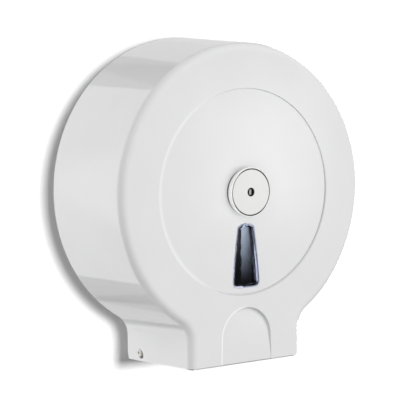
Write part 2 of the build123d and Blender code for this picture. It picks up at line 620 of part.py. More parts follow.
def core_adapter():
    """Finned sleeve that takes the larger paper core."""
    start = HUB_SEAT + FACE_GAP
    end = HUB_END - ADAPTER_SHORTER
    wall = ADAPTER_BORE + ADAPTER_WALL
    tip = wall + ADAPTER_FIN_HEIGHT
    adapter = rod(wall, start, end)
    fin_plane = Plane(origin=(0, ADAPTER_FIN_WIDTH / 2, 0), x_dir=(1, 0, 0), z_dir=(0, -1, 0))
    outline = Polyline(
        (wall - ADAPTER_WALL / 2, start),
        (tip, start),
        (tip, end - ADAPTER_FIN_LEAD),
        (wall, end),
        (wall - ADAPTER_WALL / 2, end),
        close=True,
    )
    fin = extrude(fin_plane * make_face(outline), amount=ADAPTER_FIN_WIDTH)
    for index in range(ADAPTER_FIN_COUNT):
        adapter += Rot(0, 0, 360 / ADAPTER_FIN_COUNT * index) * fin
    return adapter - rod(ADAPTER_BORE, start - OVERCUT, end + OVERCUT)


def hub_retaining_ring():
    ring = tube(RING_OUTER_RADIUS, SPINDLE_RADIUS - RING_GROOVE_DEPTH, RING_START, RING_END)
    reach = 2 * RING_OUTER_RADIUS
    half = reach * math.tan(math.radians(RING_OPENING_DEG / 2))
    gap = make_face(Polyline((0, 0), (half, -reach), (-half, -reach), close=True))
    return ring - extrude(Pos(0, 0, RING_START - 1) * gap, amount=RING_THICKNESS + 2)


def lock_keeper():
    """Cap in the spindle's end with a slot that the lock's cam passes and turns behind."""
    skirt = SPINDLE_BORE_RADIUS + KEEPER_SKIRT_THICKNESS
    keeper = rod(SPINDLE_RADIUS, SPINDLE_END, KEEPER_FRONT)
    front_edges = keeper.edges().filter_by(lambda e: e.center().Z > KEEPER_FRONT - 0.01)
    keeper = chamfer(front_edges, KEEPER_CHAMFER)
    keeper += rod(skirt, SPINDLE_END - KEEPER_SKIRT_DEPTH, SPINDLE_END)
    keeper -= rod(SPINDLE_BORE_RADIUS, SPINDLE_END - KEEPER_SKIRT_DEPTH - OVERCUT, KEEPER_FACE_BACK)
    half_width = CAM_STEM_RADIUS + KEEPER_SIDE_GAP
    half_length = CAM_HALF_LENGTH + KEEPER_SWING_GAP
    slot_low = (-half_width, -half_length, KEEPER_FACE_BACK - 1)
    slot_high = (half_width, half_length, KEEPER_FRONT + 1)
    return keeper - block(slot_low, slot_high)


def inspection_window():
    """Smoked window: a grooved rim on the cover's face round a sunk pane, with a skirt and four clips."""
    rim_top = FIELD_LEVEL + WINDOW_RIM_HEIGHT
    rim = extrude(Pos(0, 0, FIELD_LEVEL) * window_outline(0), amount=WINDOW_RIM_HEIGHT)
    rim = chamfer(rim.faces().sort_by(Axis.Z)[-1].edges(), WINDOW_RIM_CHAMFER)
    floor = rim_top - WINDOW_PANE_DEPTH
    clip_top = FIELD_BACK - FACE_GAP
    skirt_end = clip_top - WINDOW_CLIP_DEPTH
    plug = WINDOW_RIM_BEARING + WINDOW_GAP
    window = rim + window_tray(plug, FIELD_LEVEL + WINDOW_RIM_HEIGHT / 2, skirt_end)
    window -= window_tray(WINDOW_RIM_WIDTH, floor - WINDOW_PANE_THICKNESS, skirt_end - 0.01)
    for drop in WINDOW_CLIP_DROPS:
        hold = window_half_width(drop) - WINDOW_RIM_BEARING + WINDOW_CLIP_HOLD
        clip = block(
            (hold - 2 * WINDOW_CLIP_HOLD, -drop - WINDOW_CLIP_LENGTH / 2, skirt_end),
            (hold, -drop + WINDOW_CLIP_LENGTH / 2, clip_top),
        )
        edge = clip.edges().filter_by(Axis.Y).sort_by(lambda e: e.center().X - e.center().Z)[-1]
        clip = chamfer(edge, WINDOW_CLIP_HOLD)
        window += clip
        window += mirrored(clip)
    window -= window_tray(WINDOW_RIM_WIDTH, rim_top + 0.01, floor)
    groove_end = WINDOW_GROOVE_INSET + WINDOW_GROOVE_WIDTH
    groove = window_outline(WINDOW_GROOVE_INSET) - window_outline(groove_end)
    window -= extrude(Pos(0, 0, rim_top - WINDOW_GROOVE_DEPTH) * groove, amount=1)
    notch_x = window_half_width(WINDOW_NOTCH_DROP)
    notch_low = -WINDOW_NOTCH_DROP - WINDOW_NOTCH_WIDTH / 2
    notch = block(
        (notch_x - WINDOW_RIM_WIDTH / 2, notch_low, rim_top - WINDOW_NOTCH_DEPTH),
        (notch_x + WINDOW_RIM_WIDTH, notch_low + WINDOW_NOTCH_WIDTH, rim_top + 1),
    )
    window -= notch
    return window - mirrored(notch)


def bent_strip(inset):
    """Plan of the neck's inside, inset, from the ends of the strip's legs to the front wall."""
    corner = EDGE_RADIUS - COVER_WALL
    side = NECK_INNER - inset
    front = CASE_DEPTH - COVER_WALL - inset
    back = CASE_DEPTH - EDGE_RADIUS - STRIP_LEG
    face = Pos(0, (front + back) / 2) * Rectangle(2 * side, front - back)
    corners = [v for v in face.vertices() if v.Y > front - 0.01]
    return fillet(corners, corner - inset)


def tooth_places():
    """Plan position and direction of each notch along the strip's outer face."""
    corner = EDGE_RADIUS - COVER_WALL
    side = NECK_INNER
    front = CASE_DEPTH - COVER_WALL
    half_line = side - corner
    half_arc = corner * math.pi / 4
    count = int((half_line + half_arc) / TOOTH_PITCH)
    places = []
    for index in range(-count, count + 1):
        run = index * TOOTH_PITCH
        past = max(abs(run) - half_line, 0)
        turn = past / corner
        x = min(abs(run), half_line) + corner * math.sin(turn)
        out = front - corner + corner * math.cos(turn)
        way = math.copysign(1, run)
        places.append((way * x, out, way * math.degrees(turn)))
    return places


def tear_strip():
    """Serrated strip inside the lip."""
    plan = bent_strip(0) - bent_strip(STRIP_THICKNESS)
    bottom = -(LIP_DROP_FRONT + TOOTH_PROUD)
    plane = Plane(origin=(0, bottom, 0), x_dir=(1, 0, 0), z_dir=(0, 1, 0))
    flipped = mirror(plan, about=Plane.XZ)
    strip = extrude(plane * flipped, amount=STRIP_HEIGHT)
    half = (TOOTH_PITCH - TOOTH_LAND) / 2
    mouth = [(-half, bottom - NOTCH_OVERCUT), (half, bottom - NOTCH_OVERCUT)]
    notch_face = make_face(Polyline(*mouth, (0, bottom + TOOTH_DEPTH), close=True))
    notch = extrude(Pos(0, 0, -2 * STRIP_THICKNESS) * notch_face, amount=3 * STRIP_THICKNESS)
    notches = [Pos(x, 0, out) * Rot(0, turn, 0) * notch for x, out, turn in tooth_places()]
    return strip - notches


def lock_housing():
    """Boss on the cover's face, with a sleeve through the cover and a bearing tube for the rotor."""
    foot = LOCK_BOSS_RADIUS - LOCK_BOSS_WAIST
    boss = Pos(0, 0, FIELD_LEVEL) * Cone(
        foot, LOCK_BOSS_RADIUS, LOCK_BOSS_HEIGHT, align=(Align.CENTER, Align.CENTER, Align.MIN)
    )
    boss = fillet(boss.edges().filter_by(lambda e: e.center().Z > BOSS_FRONT - 0.01), LOCK_BOSS_ROUND)
    boss += rod(LOCK_SLEEVE_RADIUS, SLEEVE_END, FIELD_LEVEL)
    half_key = LOCK_KEY_WIDTH / 2
    key_top = LOCK_SLEEVE_RADIUS + LOCK_KEY_HEIGHT
    boss += block((-half_key, 0, FIELD_BACK), (half_key, key_top, FIELD_LEVEL))
    boss -= rod(LOCK_FACE_RADIUS + LOCK_FACE_GAP, POCKET_FLOOR, BOSS_FRONT + OVERCUT)
    web_back = POCKET_FLOOR - LOCK_WEB_THICKNESS
    bearing = ROTOR_RADIUS + ROTOR_RUNNING_GAP
    flange_seat = POCKET_FLOOR - ROTOR_FLANGE_THICKNESS - LOCK_FACE_SINK / 2
    boss -= rod(ROTOR_FLANGE_RADIUS + ROTOR_RUNNING_GAP, flange_seat, POCKET_FLOOR + OVERCUT)
    boss -= rod(bearing, SLEEVE_END - OVERCUT, POCKET_FLOOR + OVERCUT)
    pocket_outer = LOCK_SLEEVE_RADIUS - LOCK_SLEEVE_WALL
    hollow = rod(pocket_outer, SLEEVE_END - OVERCUT, web_back)
    return boss - (hollow - rod(bearing + ROTOR_TUBE_WALL, SLEEVE_END - OVERCUT, web_back))


def lock_face():
    """Disc in the boss with the key hole."""
    base = POCKET_FLOOR
    disc = rod(LOCK_FACE_RADIUS, base, base + LOCK_FACE_THICKNESS)
    disc -= rod(KEY_HOLE_RADIUS, base - 1, base + LOCK_FACE_THICKNESS + 1)
    top = [e for e in disc.edges() if e.center().Z > base + LOCK_FACE_THICKNESS - 0.01]
    return fillet(top, LOCK_FACE_ROUND)


def lock_nut():
    back = LOCK_SEAT_LEVEL - NUT_THICKNESS
    nut = tube(NUT_RADIUS, LOCK_SLEEVE_RADIUS, back, LOCK_SEAT_LEVEL)
    notch = rod(NUT_NOTCH_RADIUS, back - 1, LOCK_SEAT_LEVEL + 1, NUT_RADIUS)
    for index in range(NUT_NOTCH_COUNT):
        nut -= Rot(0, 0, 360 / NUT_NOTCH_COUNT * index) * notch
    return nut


def lock_spring_washer():
    """Coned spring washer between the housing and the cam's collar."""
    inner = ROTOR_RADIUS + 2 * SPRING_THICKNESS
    outer = CAM_COLLAR_RADIUS
    top = SLEEVE_END - SPRING_SLACK
    bottom = COLLAR_FRONT + SPRING_SLACK
    bore = [(inner, top - SPRING_THICKNESS), (inner, top)]
    rim = [(outer, bottom + SPRING_THICKNESS), (outer, bottom)]
    profile = Polyline(*bore, *rim, close=True)
    return revolve(Plane.XZ * make_face(profile), axis=Axis.Z)


def lock_rotor():
    """Turning barrel with the key's socket and centre post in front and a square tang behind."""
    rotor = rod(ROTOR_RADIUS, SLEEVE_END, ROTOR_FRONT)
    flange_back = ROTOR_FRONT - ROTOR_FLANGE_THICKNESS + ROTOR_RUNNING_GAP
    rotor += rod(ROTOR_FLANGE_RADIUS, flange_back, ROTOR_FRONT)
    socket = rod(KEY_HOLE_RADIUS, ROTOR_FRONT - KEY_HOLE_DEPTH, ROTOR_FRONT + 1)
    post_foot = ROTOR_FRONT - KEY_HOLE_DEPTH - 1
    post_top = ROTOR_FRONT - KEY_POST_SINK
    flats = block((-KEY_POST_FLAT, -KEY_POST_RADIUS, post_foot), (KEY_POST_FLAT, KEY_POST_RADIUS, post_top))
    rotor -= socket - (rod(KEY_POST_RADIUS, post_foot, post_top) & flats)
    half = ROTOR_TANG_SIDE / 2
    rotor += block((-half, -half, SLEEVE_END - ROTOR_TANG_DEPTH), (half, half, SLEEVE_END))
    return rotor - rod(CAM_SCREW_RADIUS, SLEEVE_END - ROTOR_TANG_DEPTH - 1, SLEEVE_END + CAM_SCREW_BITE)


def lock_cam():
    """Collar, stem and cross bar that turns behind the keeper's slot."""
    cam = rod(CAM_COLLAR_RADIUS, COLLAR_BACK, COLLAR_FRONT)
    cam += rod(CAM_STEM_RADIUS, CAM_BACK, COLLAR_BACK)
    bar = Pos(0, 0, CAM_BACK) * extrude(
        SlotOverall(2 * CAM_HALF_LENGTH, 2 * CAM_STEM_RADIUS, rotation=90), amount=CAM_THICKNESS
    )
    cam += bar
    half = ROTOR_TANG_SIDE / 2 + TANG_GAP
    tang_floor = SLEEVE_END - ROTOR_TANG_DEPTH - TANG_GAP
    cam -= block((-half, -half, tang_floor), (half, half, COLLAR_FRONT + 1))
    return cam - rod(CAM_SCREW_RADIUS, CAM_BACK - 1, COLLAR_FRONT + 1)


def lock_cam_screw():
    head = rod(CAM_SCREW_HEAD_RADIUS, CAM_BACK - CAM_SCREW_HEAD_HEIGHT, CAM_BACK)
    head = fillet(head.edges().filter_by(lambda e: e.center().Z < CAM_BACK - 1), 0.6)
    return head + rod(CAM_SCREW_RADIUS, CAM_BACK, SLEEVE_END + CAM_SCREW_BITE)


def stand_up(shape):
    """From wall coordinates to +Z up, front towards -Y."""
    return Plane(origin=(0, 0, 0), x_dir=(1, 0, 0), z_dir=(0, -1, 0)).location * shape


def main():
    pin = hinge_pin()
    pieces = {
        "wall_plate": wall_plate(),
        "hinge_pin_right": pin,
        "hinge_pin_left": mirrored(pin),
        "roll_spindle": roll_spindle(),
        "spindle_screws": spindle_screws(),
        "hub_thrust_washer": hub_thrust_washer(),
        "core_hub": core_hub(),
        "core_adapter": core_adapter(),
        "hub_retaining_ring": hub_retaining_ring(),
        "lock_keeper": lock_keeper(),
        "front_cover": front_cover(),
        "inspection_window": inspection_window(),
        "tear_strip": tear_strip(),
        "lock_housing": lock_housing(),
        "lock_face": lock_face(),
        "lock_nut": lock_nut(),
        "lock_spring_washer": lock_spring_washer(),
        "lock_rotor": lock_rotor(),
        "lock_cam": lock_cam(),
        "lock_cam_screw": lock_cam_screw(),
    }
    os.makedirs("parts", exist_ok=True)
    for name, shape in pieces.items():
        export_step(stand_up(shape), f"parts/{name}.step")


main()
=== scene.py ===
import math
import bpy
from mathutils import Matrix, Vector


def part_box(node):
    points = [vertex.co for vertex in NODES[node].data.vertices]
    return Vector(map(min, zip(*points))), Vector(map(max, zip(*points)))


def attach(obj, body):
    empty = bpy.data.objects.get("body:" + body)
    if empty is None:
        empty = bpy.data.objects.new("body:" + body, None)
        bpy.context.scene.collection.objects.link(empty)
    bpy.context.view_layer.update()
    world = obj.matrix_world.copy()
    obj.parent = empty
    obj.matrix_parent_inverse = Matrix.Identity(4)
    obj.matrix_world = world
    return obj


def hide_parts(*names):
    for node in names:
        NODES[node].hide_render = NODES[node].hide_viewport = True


bl_info = {
    "name": "Round Paper Dispenser",
    "version": (1, 0, 0),
    "blender": (4, 5, 0),
    "location": "View3D > Sidebar > Dispenser",
    "description": "Dresses the packed round paper dispenser with its finishes, small details and a studio",
    "category": "Object",
}

import bmesh
import bpy
from bpy.props import FloatProperty, FloatVectorProperty, IntProperty, PointerProperty
from mathutils import Matrix, Vector

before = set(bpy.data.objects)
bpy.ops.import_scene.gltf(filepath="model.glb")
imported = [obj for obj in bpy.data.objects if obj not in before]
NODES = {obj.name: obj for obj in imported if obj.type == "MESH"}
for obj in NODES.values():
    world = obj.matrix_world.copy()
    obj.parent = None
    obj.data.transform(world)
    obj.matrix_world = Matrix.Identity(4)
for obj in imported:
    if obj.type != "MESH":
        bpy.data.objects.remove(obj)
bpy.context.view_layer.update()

MM = 0.001

# round field and thumb recess in the front face, with the levels out of the wall past which paint starts
FIELD_RADIUS = 115.0 * MM
FIELD_LEVEL = 120.0 * MM
RECESS_RADIUS = 33.5 * MM
RECESS_TOP = -130.5 * MM
RECESS_FOOT = -203.4 * MM
RECESS_FOOT_HALF_WIDTH = 34.8 * MM
RECESS_LEVEL = 118.0 * MM

# lock: boss, disc, key hole and the barrel's post
LOCK_FRONT = -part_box("lock_housing")[0][1]
DISC_LOW, DISC_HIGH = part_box("lock_face")
DISC_FRONT = -DISC_LOW[1]
DISC_RADIUS = (DISC_HIGH[0] - DISC_LOW[0]) / 2
KEY_HOLE_RADIUS = 4.8 * MM
POST_RADIUS = 2.9 * MM
POST_FLAT = 1.6 * MM  # half width across the post's two flats
POST_DEPTH = 0.9 * MM  # solid post's front below the barrel's
POST_OVERLAP = 0.3 * MM  # tip's reach into the solid post
POST_ROUNDING = 0.25 * MM

# screws
SCREWS_LOW, SCREWS_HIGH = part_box("spindle_screws")
SCREW_HEAD_HEIGHT = 2.4 * MM
SCREW_SHANK_RADIUS = 2.0 * MM
SIDE_SCREW_ANGLE = math.radians(30)  # of the lower spindle screws below the level
SCREW_TURN = 2.2  # radians that the crosses turn by once round the circle
CAM_SCREW_LOW, CAM_SCREW_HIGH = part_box("lock_cam_screw")
CAM_SCREW_HEAD_HEIGHT = 2.2 * MM
CAM_SCREW_SHANK_RADIUS = 1.25 * MM
HEAD_DOME = 0.35  # rounded edge, as a share of the head's radius
SHANK_TIP = 1.2  # pointed tip's length in shank radii
CROSS_ARM, CROSS_HALF_WIDTH = 0.58, 0.13  # as shares of the head's radius
CROSS_TAPER = (0.45, 1.55)  # shares of the arm at the cutter's foot and top
SHARP_ANGLE = math.radians(35)


# ---- settings
def colour_of(name, what, default):
    return FloatVectorProperty(
        name=name, description="Colour of " + what, subtype="COLOR", size=3, min=0.0, max=1.0, default=default
    )


def share_property(name, description, default):
    return FloatProperty(
        name=name, description=description, subtype="FACTOR", min=0.0, max=1.0, default=default
    )


def metres(name, description, default):
    return FloatProperty(
        name=name, description=description, subtype="DISTANCE", unit="LENGTH", min=0.0, default=default
    )


def brightness_of(name, what, default):
    return FloatProperty(name=name, description="Brightness of " + what, min=0.0, default=default)


class CoverSettings(bpy.types.PropertyGroup):
    """Glossy cover with its round field and thumb recess, and the serrated strip."""

    colour: colour_of("Colour", "the white cover", (0.832, 0.832, 0.840))
    gloss: share_property("Roughness", "Roughness of the polished outside", 0.035)
    ripple_height: metres("Ripple height", "Height of the flow ripple in the face", 0.012 * MM)
    # painted highlight: the field's left edge lightened
    field_highlight_colour: colour_of("Field edge", "the field's rubbed left edge", (0.905, 0.905, 0.91))
    # painted shade: the field's edge darkened at its lower right
    field_foot_shade_colour: colour_of("Field foot", "dirt at the field's lower right", (0.66, 0.66, 0.66))
    # painted shade: the thumb recess's floor darkened
    recess_shade_colour: colour_of("Recess", "the recess's floor, dulled by touch", (0.795, 0.795, 0.80))
    # painted highlight: the thumb recess's rim at its left and top lightened to white, and how wide it is
    rim_highlight_colour: colour_of("Recess rim", "the thumb recess's rubbed rim", (1.0, 1.0, 1.0))
    rim_width: metres("Recess rim width", "Width of that rubbed rim", 1.6 * MM)
    strip_colour: colour_of("Strip", "the serrated strip", (0.30, 0.30, 0.31))


class WindowSettings(bpy.types.PropertyGroup):
    """Smoked window."""

    smoke: colour_of("Smoke", "the light that comes through", (0.12, 0.127, 0.155))
    rim_tint: colour_of("Rim", "the thin, paler rim", (0.80, 0.82, 0.90))
    rim_width: metres("Rim width", "Width of the paler rim round the pane", 2.2 * MM)
    top_half_width: metres("Top half width", "Half the window's width at its top", 11.6 * MM)
    gloss: share_property("Roughness", "Roughness of the pane", 0.002)


class LockSettings(bpy.types.PropertyGroup):
    """Boss, disc and turning barrel of the lock."""

    colour: colour_of("Boss", "the boss and its disc", (0.83, 0.83, 0.815))
    rotor_colour: colour_of("Barrel", "the turning barrel", (0.022, 0.023, 0.022))
    # painted highlight: the lit front face of the post's tip
    post_highlight_colour: colour_of("Post", "the post's rubbed tip", (0.42, 0.44, 0.38))
    # painted shade: the gap round the disc and the edges beside it darkened
    gap_shade_colour: colour_of("Gap", "the dirt in the gap round the disc", (0.025, 0.025, 0.024))
    # dark olive painted on the key hole's wall
    hole_colour: colour_of("Hole", "the key hole's greasy wall", (0.12, 0.135, 0.095))
    post_sink: metres("Post sink", "Depth of the post's tip below the disc", 1.6 * MM)


class InsideSettings(bpy.types.PropertyGroup):
    """Hinge pins, and the plastic pieces behind the cover."""

    plate_colour: colour_of("Plate", "the wall plate", (0.055, 0.058, 0.063))
    pin_colour: colour_of("Pins", "the hinge pins", (0.80, 0.78, 0.75))
    spindle_colour: colour_of("Spindle", "the spindle", (0.62, 0.63, 0.64))
    hub_colour: colour_of("Hub", "the turning hub", (0.78, 0.78, 0.77))
    adapter_colour: colour_of("Adapter", "the core adapter", (0.35, 0.37, 0.40))
    washer_colour: colour_of("Washer", "the thrust washer", (0.75, 0.74, 0.70))
    keeper_colour: colour_of("Keeper", "the lock's keeper", (0.08, 0.08, 0.085))
    nut_colour: colour_of("Nut", "the lock's nut", (0.08, 0.08, 0.085))


class MetalSettings(bpy.types.PropertyGroup):
    """Screws, springs and cam."""

    zinc_colour: colour_of("Zinc plating", "the plated screws", (0.66, 0.67, 0.70))
    spring_colour: colour_of("Spring steel", "ring and spring washer", (0.33, 0.33, 0.35))
    cast_colour: colour_of("Cast zinc", "the cam", (0.50, 0.50, 0.51))
    recess_depth: metres("Recess depth", "Depth of the cross in the screws' heads", 1.3 * MM)
    screw_count: IntProperty(name="Screws", description="Screws that hold the spindle", min=1, default=3)
    circle_radius: metres("Screw circle", "Radius of the circle of screws", 27.0 * MM)


class StageSettings(bpy.types.PropertyGroup):
    """Wall, lamps and camera."""

    wall_gap: metres("Wall gap", "Distance from the plate's back to the wall", 0.5 * MM)
    ambient: brightness_of("Even light", "the even light all round", 0.5)
    mirrored_room: brightness_of("Mirrored room", "the unlit room in polished surfaces", 0.04)
    room_card: brightness_of("Room", "the cards that stand for the lit room", 0.30)
    left_panel: brightness_of("Left panel", "the panel behind and to the left", 0.95)
    right_panel: brightness_of("Right panel", "the panel behind and to the right", 0.45)
    front_lamp: brightness_of("Front lamp", "the large lamp in front", 3.15)
    side_lamp: brightness_of("Side lamp", "the large lamp to the left and rear", 1.0)
    top_lamp: brightness_of("Top lamp", "the soft lamp above and to the left", 0.85)
    low_lamp: brightness_of("Low lamp", "the soft lamp below and to the left", 0.6)
    boss_lamp: brightness_of("Boss lamp", "the lamp that fills the boss from the left", 2.2)
    sheen_lamp: brightness_of("Sheen", "the soft patch mirrored in the face", 2.2)
    window_lamp: brightness_of("Window lamp", "the soft box mirrored in the window", 16.0)
    window_rim_lamp: brightness_of("Window rim lamps", "the boxes mirrored in the window's rim", 7.0)
    rim_lamp: brightness_of("Rim lamp", "the tall card mirrored in the rounded rims", 6.0)
    wall_lamp: brightness_of("Wall lamp", "the light of the lamp that casts the shadow", 1.3)
    wall_white: brightness_of("Wall white", "the wall's paint", 0.65)


# ---- node helpers
def node(tree, kind, sockets=None, **settings):
    """Adds a node; a socket takes a plain value or another node's output."""
    made = tree.nodes.new(kind)
    for name, value in settings.items():
        setattr(made, name, value)
    for key, value in (sockets or {}).items():
        if isinstance(value, bpy.types.NodeSocket):
            tree.links.new(value, made.inputs[key])
        else:
            made.inputs[key].default_value = value
    return made


def calculate(tree, operation, *values):
    """Output of a Math node."""
    return node(tree, "ShaderNodeMath", dict(enumerate(values)), operation=operation).outputs[0]


def total(tree, first, second):
    return calculate(tree, "ADD", first, second)


def difference(tree, first, second):
    return calculate(tree, "SUBTRACT", first, second)


def product(tree, first, *others):
    for other in others:
        first = calculate(tree, "MULTIPLY", first, other)
    return first


def opposite(tree, share):
    """What a share leaves of 1."""
    return difference(tree, 1.0, share)


def measure(tree, operation, *vectors):
    """Number that a Vector Math node gives, such as a length or a dot product."""
    made = node(tree, "ShaderNodeVectorMath", dict(enumerate(vectors)), operation=operation)
    return made.outputs["Value"]


def map_range(tree, value, start, end, first=0.0, last=1.0, interpolation="LINEAR"):
    """Goes from first to last while a value goes from start to end."""
    sockets = {"Value": value, "From Min": start, "From Max": end, "To Min": first, "To Max": last}
    return node(tree, "ShaderNodeMapRange", sockets, interpolation_type=interpolation).outputs["Result"]


def smooth_step(tree, value, start, end):
    """0 before start and 1 after end."""
    return map_range(tree, value, start, end, interpolation="SMOOTHSTEP")


def reached(tree, value, level, softness):
    """1 from a level on and 0 before it, softly."""
    return smooth_step(tree, value, difference(tree, level, softness), level)


def passed(tree, value, level, softness):
    """0 up to a level and 1 beyond it, softly."""
    return smooth_step(tree, value, level, total(tree, level, softness))


def noise(tree, place, size, detail=2.0):
    """Noise of about 0 to 1 with features of a real size in metres."""
    sockets = {"Vector": place, "Scale": calculate(tree, "DIVIDE", 1.0, size), "Detail": detail}
    return node(tree, "ShaderNodeTexNoise", sockets).outputs["Fac"]


def blend_colour(tree, share, first, second, blend_type="MIX"):
    """Mixed colour."""
    sockets = {0: share, 6: first, 7: second}
    return node(tree, "ShaderNodeMix", sockets, data_type="RGBA", blend_type=blend_type).outputs[2]


def bump_normal(tree, height):
    """Normals of a height in metres."""
    return node(tree, "ShaderNodeBump", {"Height": height, "Distance": 1.0}).outputs["Normal"]


def object_place(tree):
    return node(tree, "ShaderNodeTexCoord").outputs["Object"]


def object_parts(tree):
    """X, Y and Z of the place on the object."""
    return node(tree, "ShaderNodeSeparateXYZ", {0: object_place(tree)}).outputs


def along_wall(tree, x, z):
    """Vector in the wall's plane."""
    return node(tree, "ShaderNodeCombineXYZ", {"X": x, "Z": z}).outputs[0]


def rgba(colour):
    return (*colour[:3], 1.0)


def grey(value):
    return (value, value, value, 1.0)


def new_material(name):
    """Material with an empty node tree and its output."""
    material = bpy.data.materials.new(name)
    material.use_nodes = True
    material.node_tree.nodes.clear()
    return material, material.node_tree, material.node_tree.nodes.new("ShaderNodeOutputMaterial")


def new_group(name, inputs, outputs=("Mask",)):
    """Empty shader group with named inputs, each with its default, and named outputs."""
    tree = bpy.data.node_groups.new(name, "ShaderNodeTree")
    kind = "NodeSocketFloat"
    for label, default in inputs.items():
        tree.interface.new_socket(label, in_out="INPUT", socket_type=kind).default_value = default
    for label in outputs:
        tree.interface.new_socket(label, in_out="OUTPUT", socket_type=kind)
    return tree, tree.nodes.new("NodeGroupInput").outputs, tree.nodes.new("NodeGroupOutput").inputs


# ---- shared effects
SLOW_SHADE, FINE_SHADE, MEAN_SHADE = 0.06, 0.04, 0.98
FLAT, ROUNDED = 0.995, 0.90  # agreement of a rounded normal with the true one, off and on an edge
PAINTED_SHADE_WAY = (0.25, 0.0, 0.97)  # where the painted shade round the lock is kept: above and below, a little askew
PAINTED_SHADE_FADE = (0.3, 0.95)  # cosines from that way at which the painted shade ends and is full
ONE_SIDE_FADE = (0.8, 0.25)  # cosines from a ring's way at which it is full and ends


def surface_group():
    """Patches of slightly different gloss, slow ripple, fine grain and a shade a little below 1."""
    inputs = {"Gloss": 0.2, "Unevenness": 0.3, "Patch Size": 30 * MM, "Ripple Height": 0.0,
              "Ripple Size": 25 * MM, "Grain Height": 0.0, "Grain Size": 0.4 * MM}
    tree, given, result = new_group("surface", inputs, ("Roughness", "Shade", "Height"))
    place = object_place(tree)
    patch = difference(tree, noise(tree, place, given["Patch Size"], 5.0), 0.5)
    swing = total(tree, product(tree, patch, given["Unevenness"], 2.0), 1.0)
    tree.links.new(product(tree, given["Gloss"], swing), result["Roughness"])
    ripple = noise(tree, place, given["Ripple Size"], 1.0)
    grain = noise(tree, place, given["Grain Size"])
    heights = (product(tree, ripple, given["Ripple Height"]), product(tree, grain, given["Grain Height"]))
    tree.links.new(total(tree, *heights), result["Height"])
    slow = product(tree, patch, SLOW_SHADE)
    fine = product(tree, difference(tree, grain, 0.5), FINE_SHADE)
    tree.links.new(total(tree, total(tree, slow, fine), MEAN_SHADE), result["Shade"])
    return tree


def edge_wear_and_highlight_group():
    """Outer edges broken up by noise: scuffing on most pieces, a painted highlight on the cover."""
    tree, given, result = new_group("edge_wear", {"Width": 0.5 * MM, "Amount": 0.5})
    rounded = node(tree, "ShaderNodeBevel", {"Radius": given["Width"]}, samples=4).outputs["Normal"]
    true = node(tree, "ShaderNodeNewGeometry").outputs["Normal"]
    edge = smooth_step(tree, measure(tree, "DOT_PRODUCT", rounded, true), FLAT, ROUNDED)
    broken = smooth_step(tree, noise(tree, object_place(tree), 3 * MM, 6.0), 0.35, 0.6)
    tree.links.new(product(tree, edge, broken, given["Amount"]), result["Mask"])
    return tree


def dust_group():
    """Dust that settles on faces that look up."""
    tree, given, result = new_group("dust", {"Amount": 0.2, "Speck Size": 1.5 * MM})
    way = node(tree, "ShaderNodeTexCoord").outputs["Normal"]
    up = node(tree, "ShaderNodeSeparateXYZ", {0: way}).outputs["Z"]
    facing = smooth_step(tree, up, 0.2, 1.0)
    specks = smooth_step(tree, noise(tree, object_place(tree), given["Speck Size"], 8.0), 0.4, 0.75)
    tree.links.new(product(tree, facing, specks, given["Amount"]), result["Mask"])
    return tree


def ring_group():
    """A ring about the lock's axis between two levels out of the wall.

    Lean makes its left and right sides fainter. One Side leaves only the side that Way X and Way Z point to.
    """
    inputs = {"Inner": 0.0, "Outer": 10 * MM, "Low": 0.0, "High": 1.0, "Softness": 0.1 * MM, "Lean": 0.0,
              "One Side": 0.0, "Way X": -1.0, "Way Z": 0.0}
    tree, given, result = new_group("ring_about_lock", inputs)
    parts = object_parts(tree)
    from_axis = along_wall(tree, parts["X"], parts["Z"])
    radius = measure(tree, "LENGTH", from_axis)
    out = product(tree, parts["Y"], -1.0)
    past_inner = reached(tree, radius, given["Inner"], given["Softness"])
    past_outer = passed(tree, radius, given["Outer"], given["Softness"])
    past_low = reached(tree, out, given["Low"], given["Softness"])
    past_high = reached(tree, out, given["High"], given["Softness"])
    way = node(tree, "ShaderNodeVectorMath", {0: from_axis}, operation="NORMALIZE").outputs["Vector"]
    upright = calculate(tree, "ABSOLUTE", measure(tree, "DOT_PRODUCT", way, PAINTED_SHADE_WAY))
    faint = product(tree, given["Lean"], opposite(tree, smooth_step(tree, upright, *PAINTED_SHADE_FADE)))
    toward = measure(tree, "DOT_PRODUCT", way, along_wall(tree, given["Way X"], given["Way Z"]))
    far_side = product(tree, given["One Side"], smooth_step(tree, toward, *ONE_SIDE_FADE))
    kept = [opposite(tree, ending) for ending in (past_outer, past_high, faint, far_side)]
    tree.links.new(product(tree, past_inner, *kept, past_low), result["Mask"])
    return tree


def window_rim_group():
    """The rim round a window that tapers upwards and has a domed top edge."""
    inputs = {"Top": 0.0, "Foot": -0.1, "Top Half Width": 0.01, "Foot Half Width": 0.02, "Dome": 0.004,
              "Rim": 0.002}
    tree, given, result = new_group("window_rim", inputs)
    top, foot = given["Top"], given["Foot"]
    parts = object_parts(tree)
    sideways = calculate(tree, "ABSOLUTE", parts["X"])
    half = map_range(tree, parts["Z"], top, foot, given["Top Half Width"], given["Foot Half Width"])
    share = calculate(tree, "DIVIDE", sideways, half)
    drop = product(tree, share, share, given["Dome"])
    to_top = difference(tree, difference(tree, top, drop), parts["Z"])
    to_side, to_foot = difference(tree, half, sideways), difference(tree, parts["Z"], foot)
    to_edge = calculate(tree, "MINIMUM", calculate(tree, "MINIMUM", to_side, to_foot), to_top)
    inner = total(tree, given["Rim"], 0.2 * MM)
    tree.links.new(smooth_step(tree, to_edge, inner, given["Rim"]), result["Mask"])
    return tree


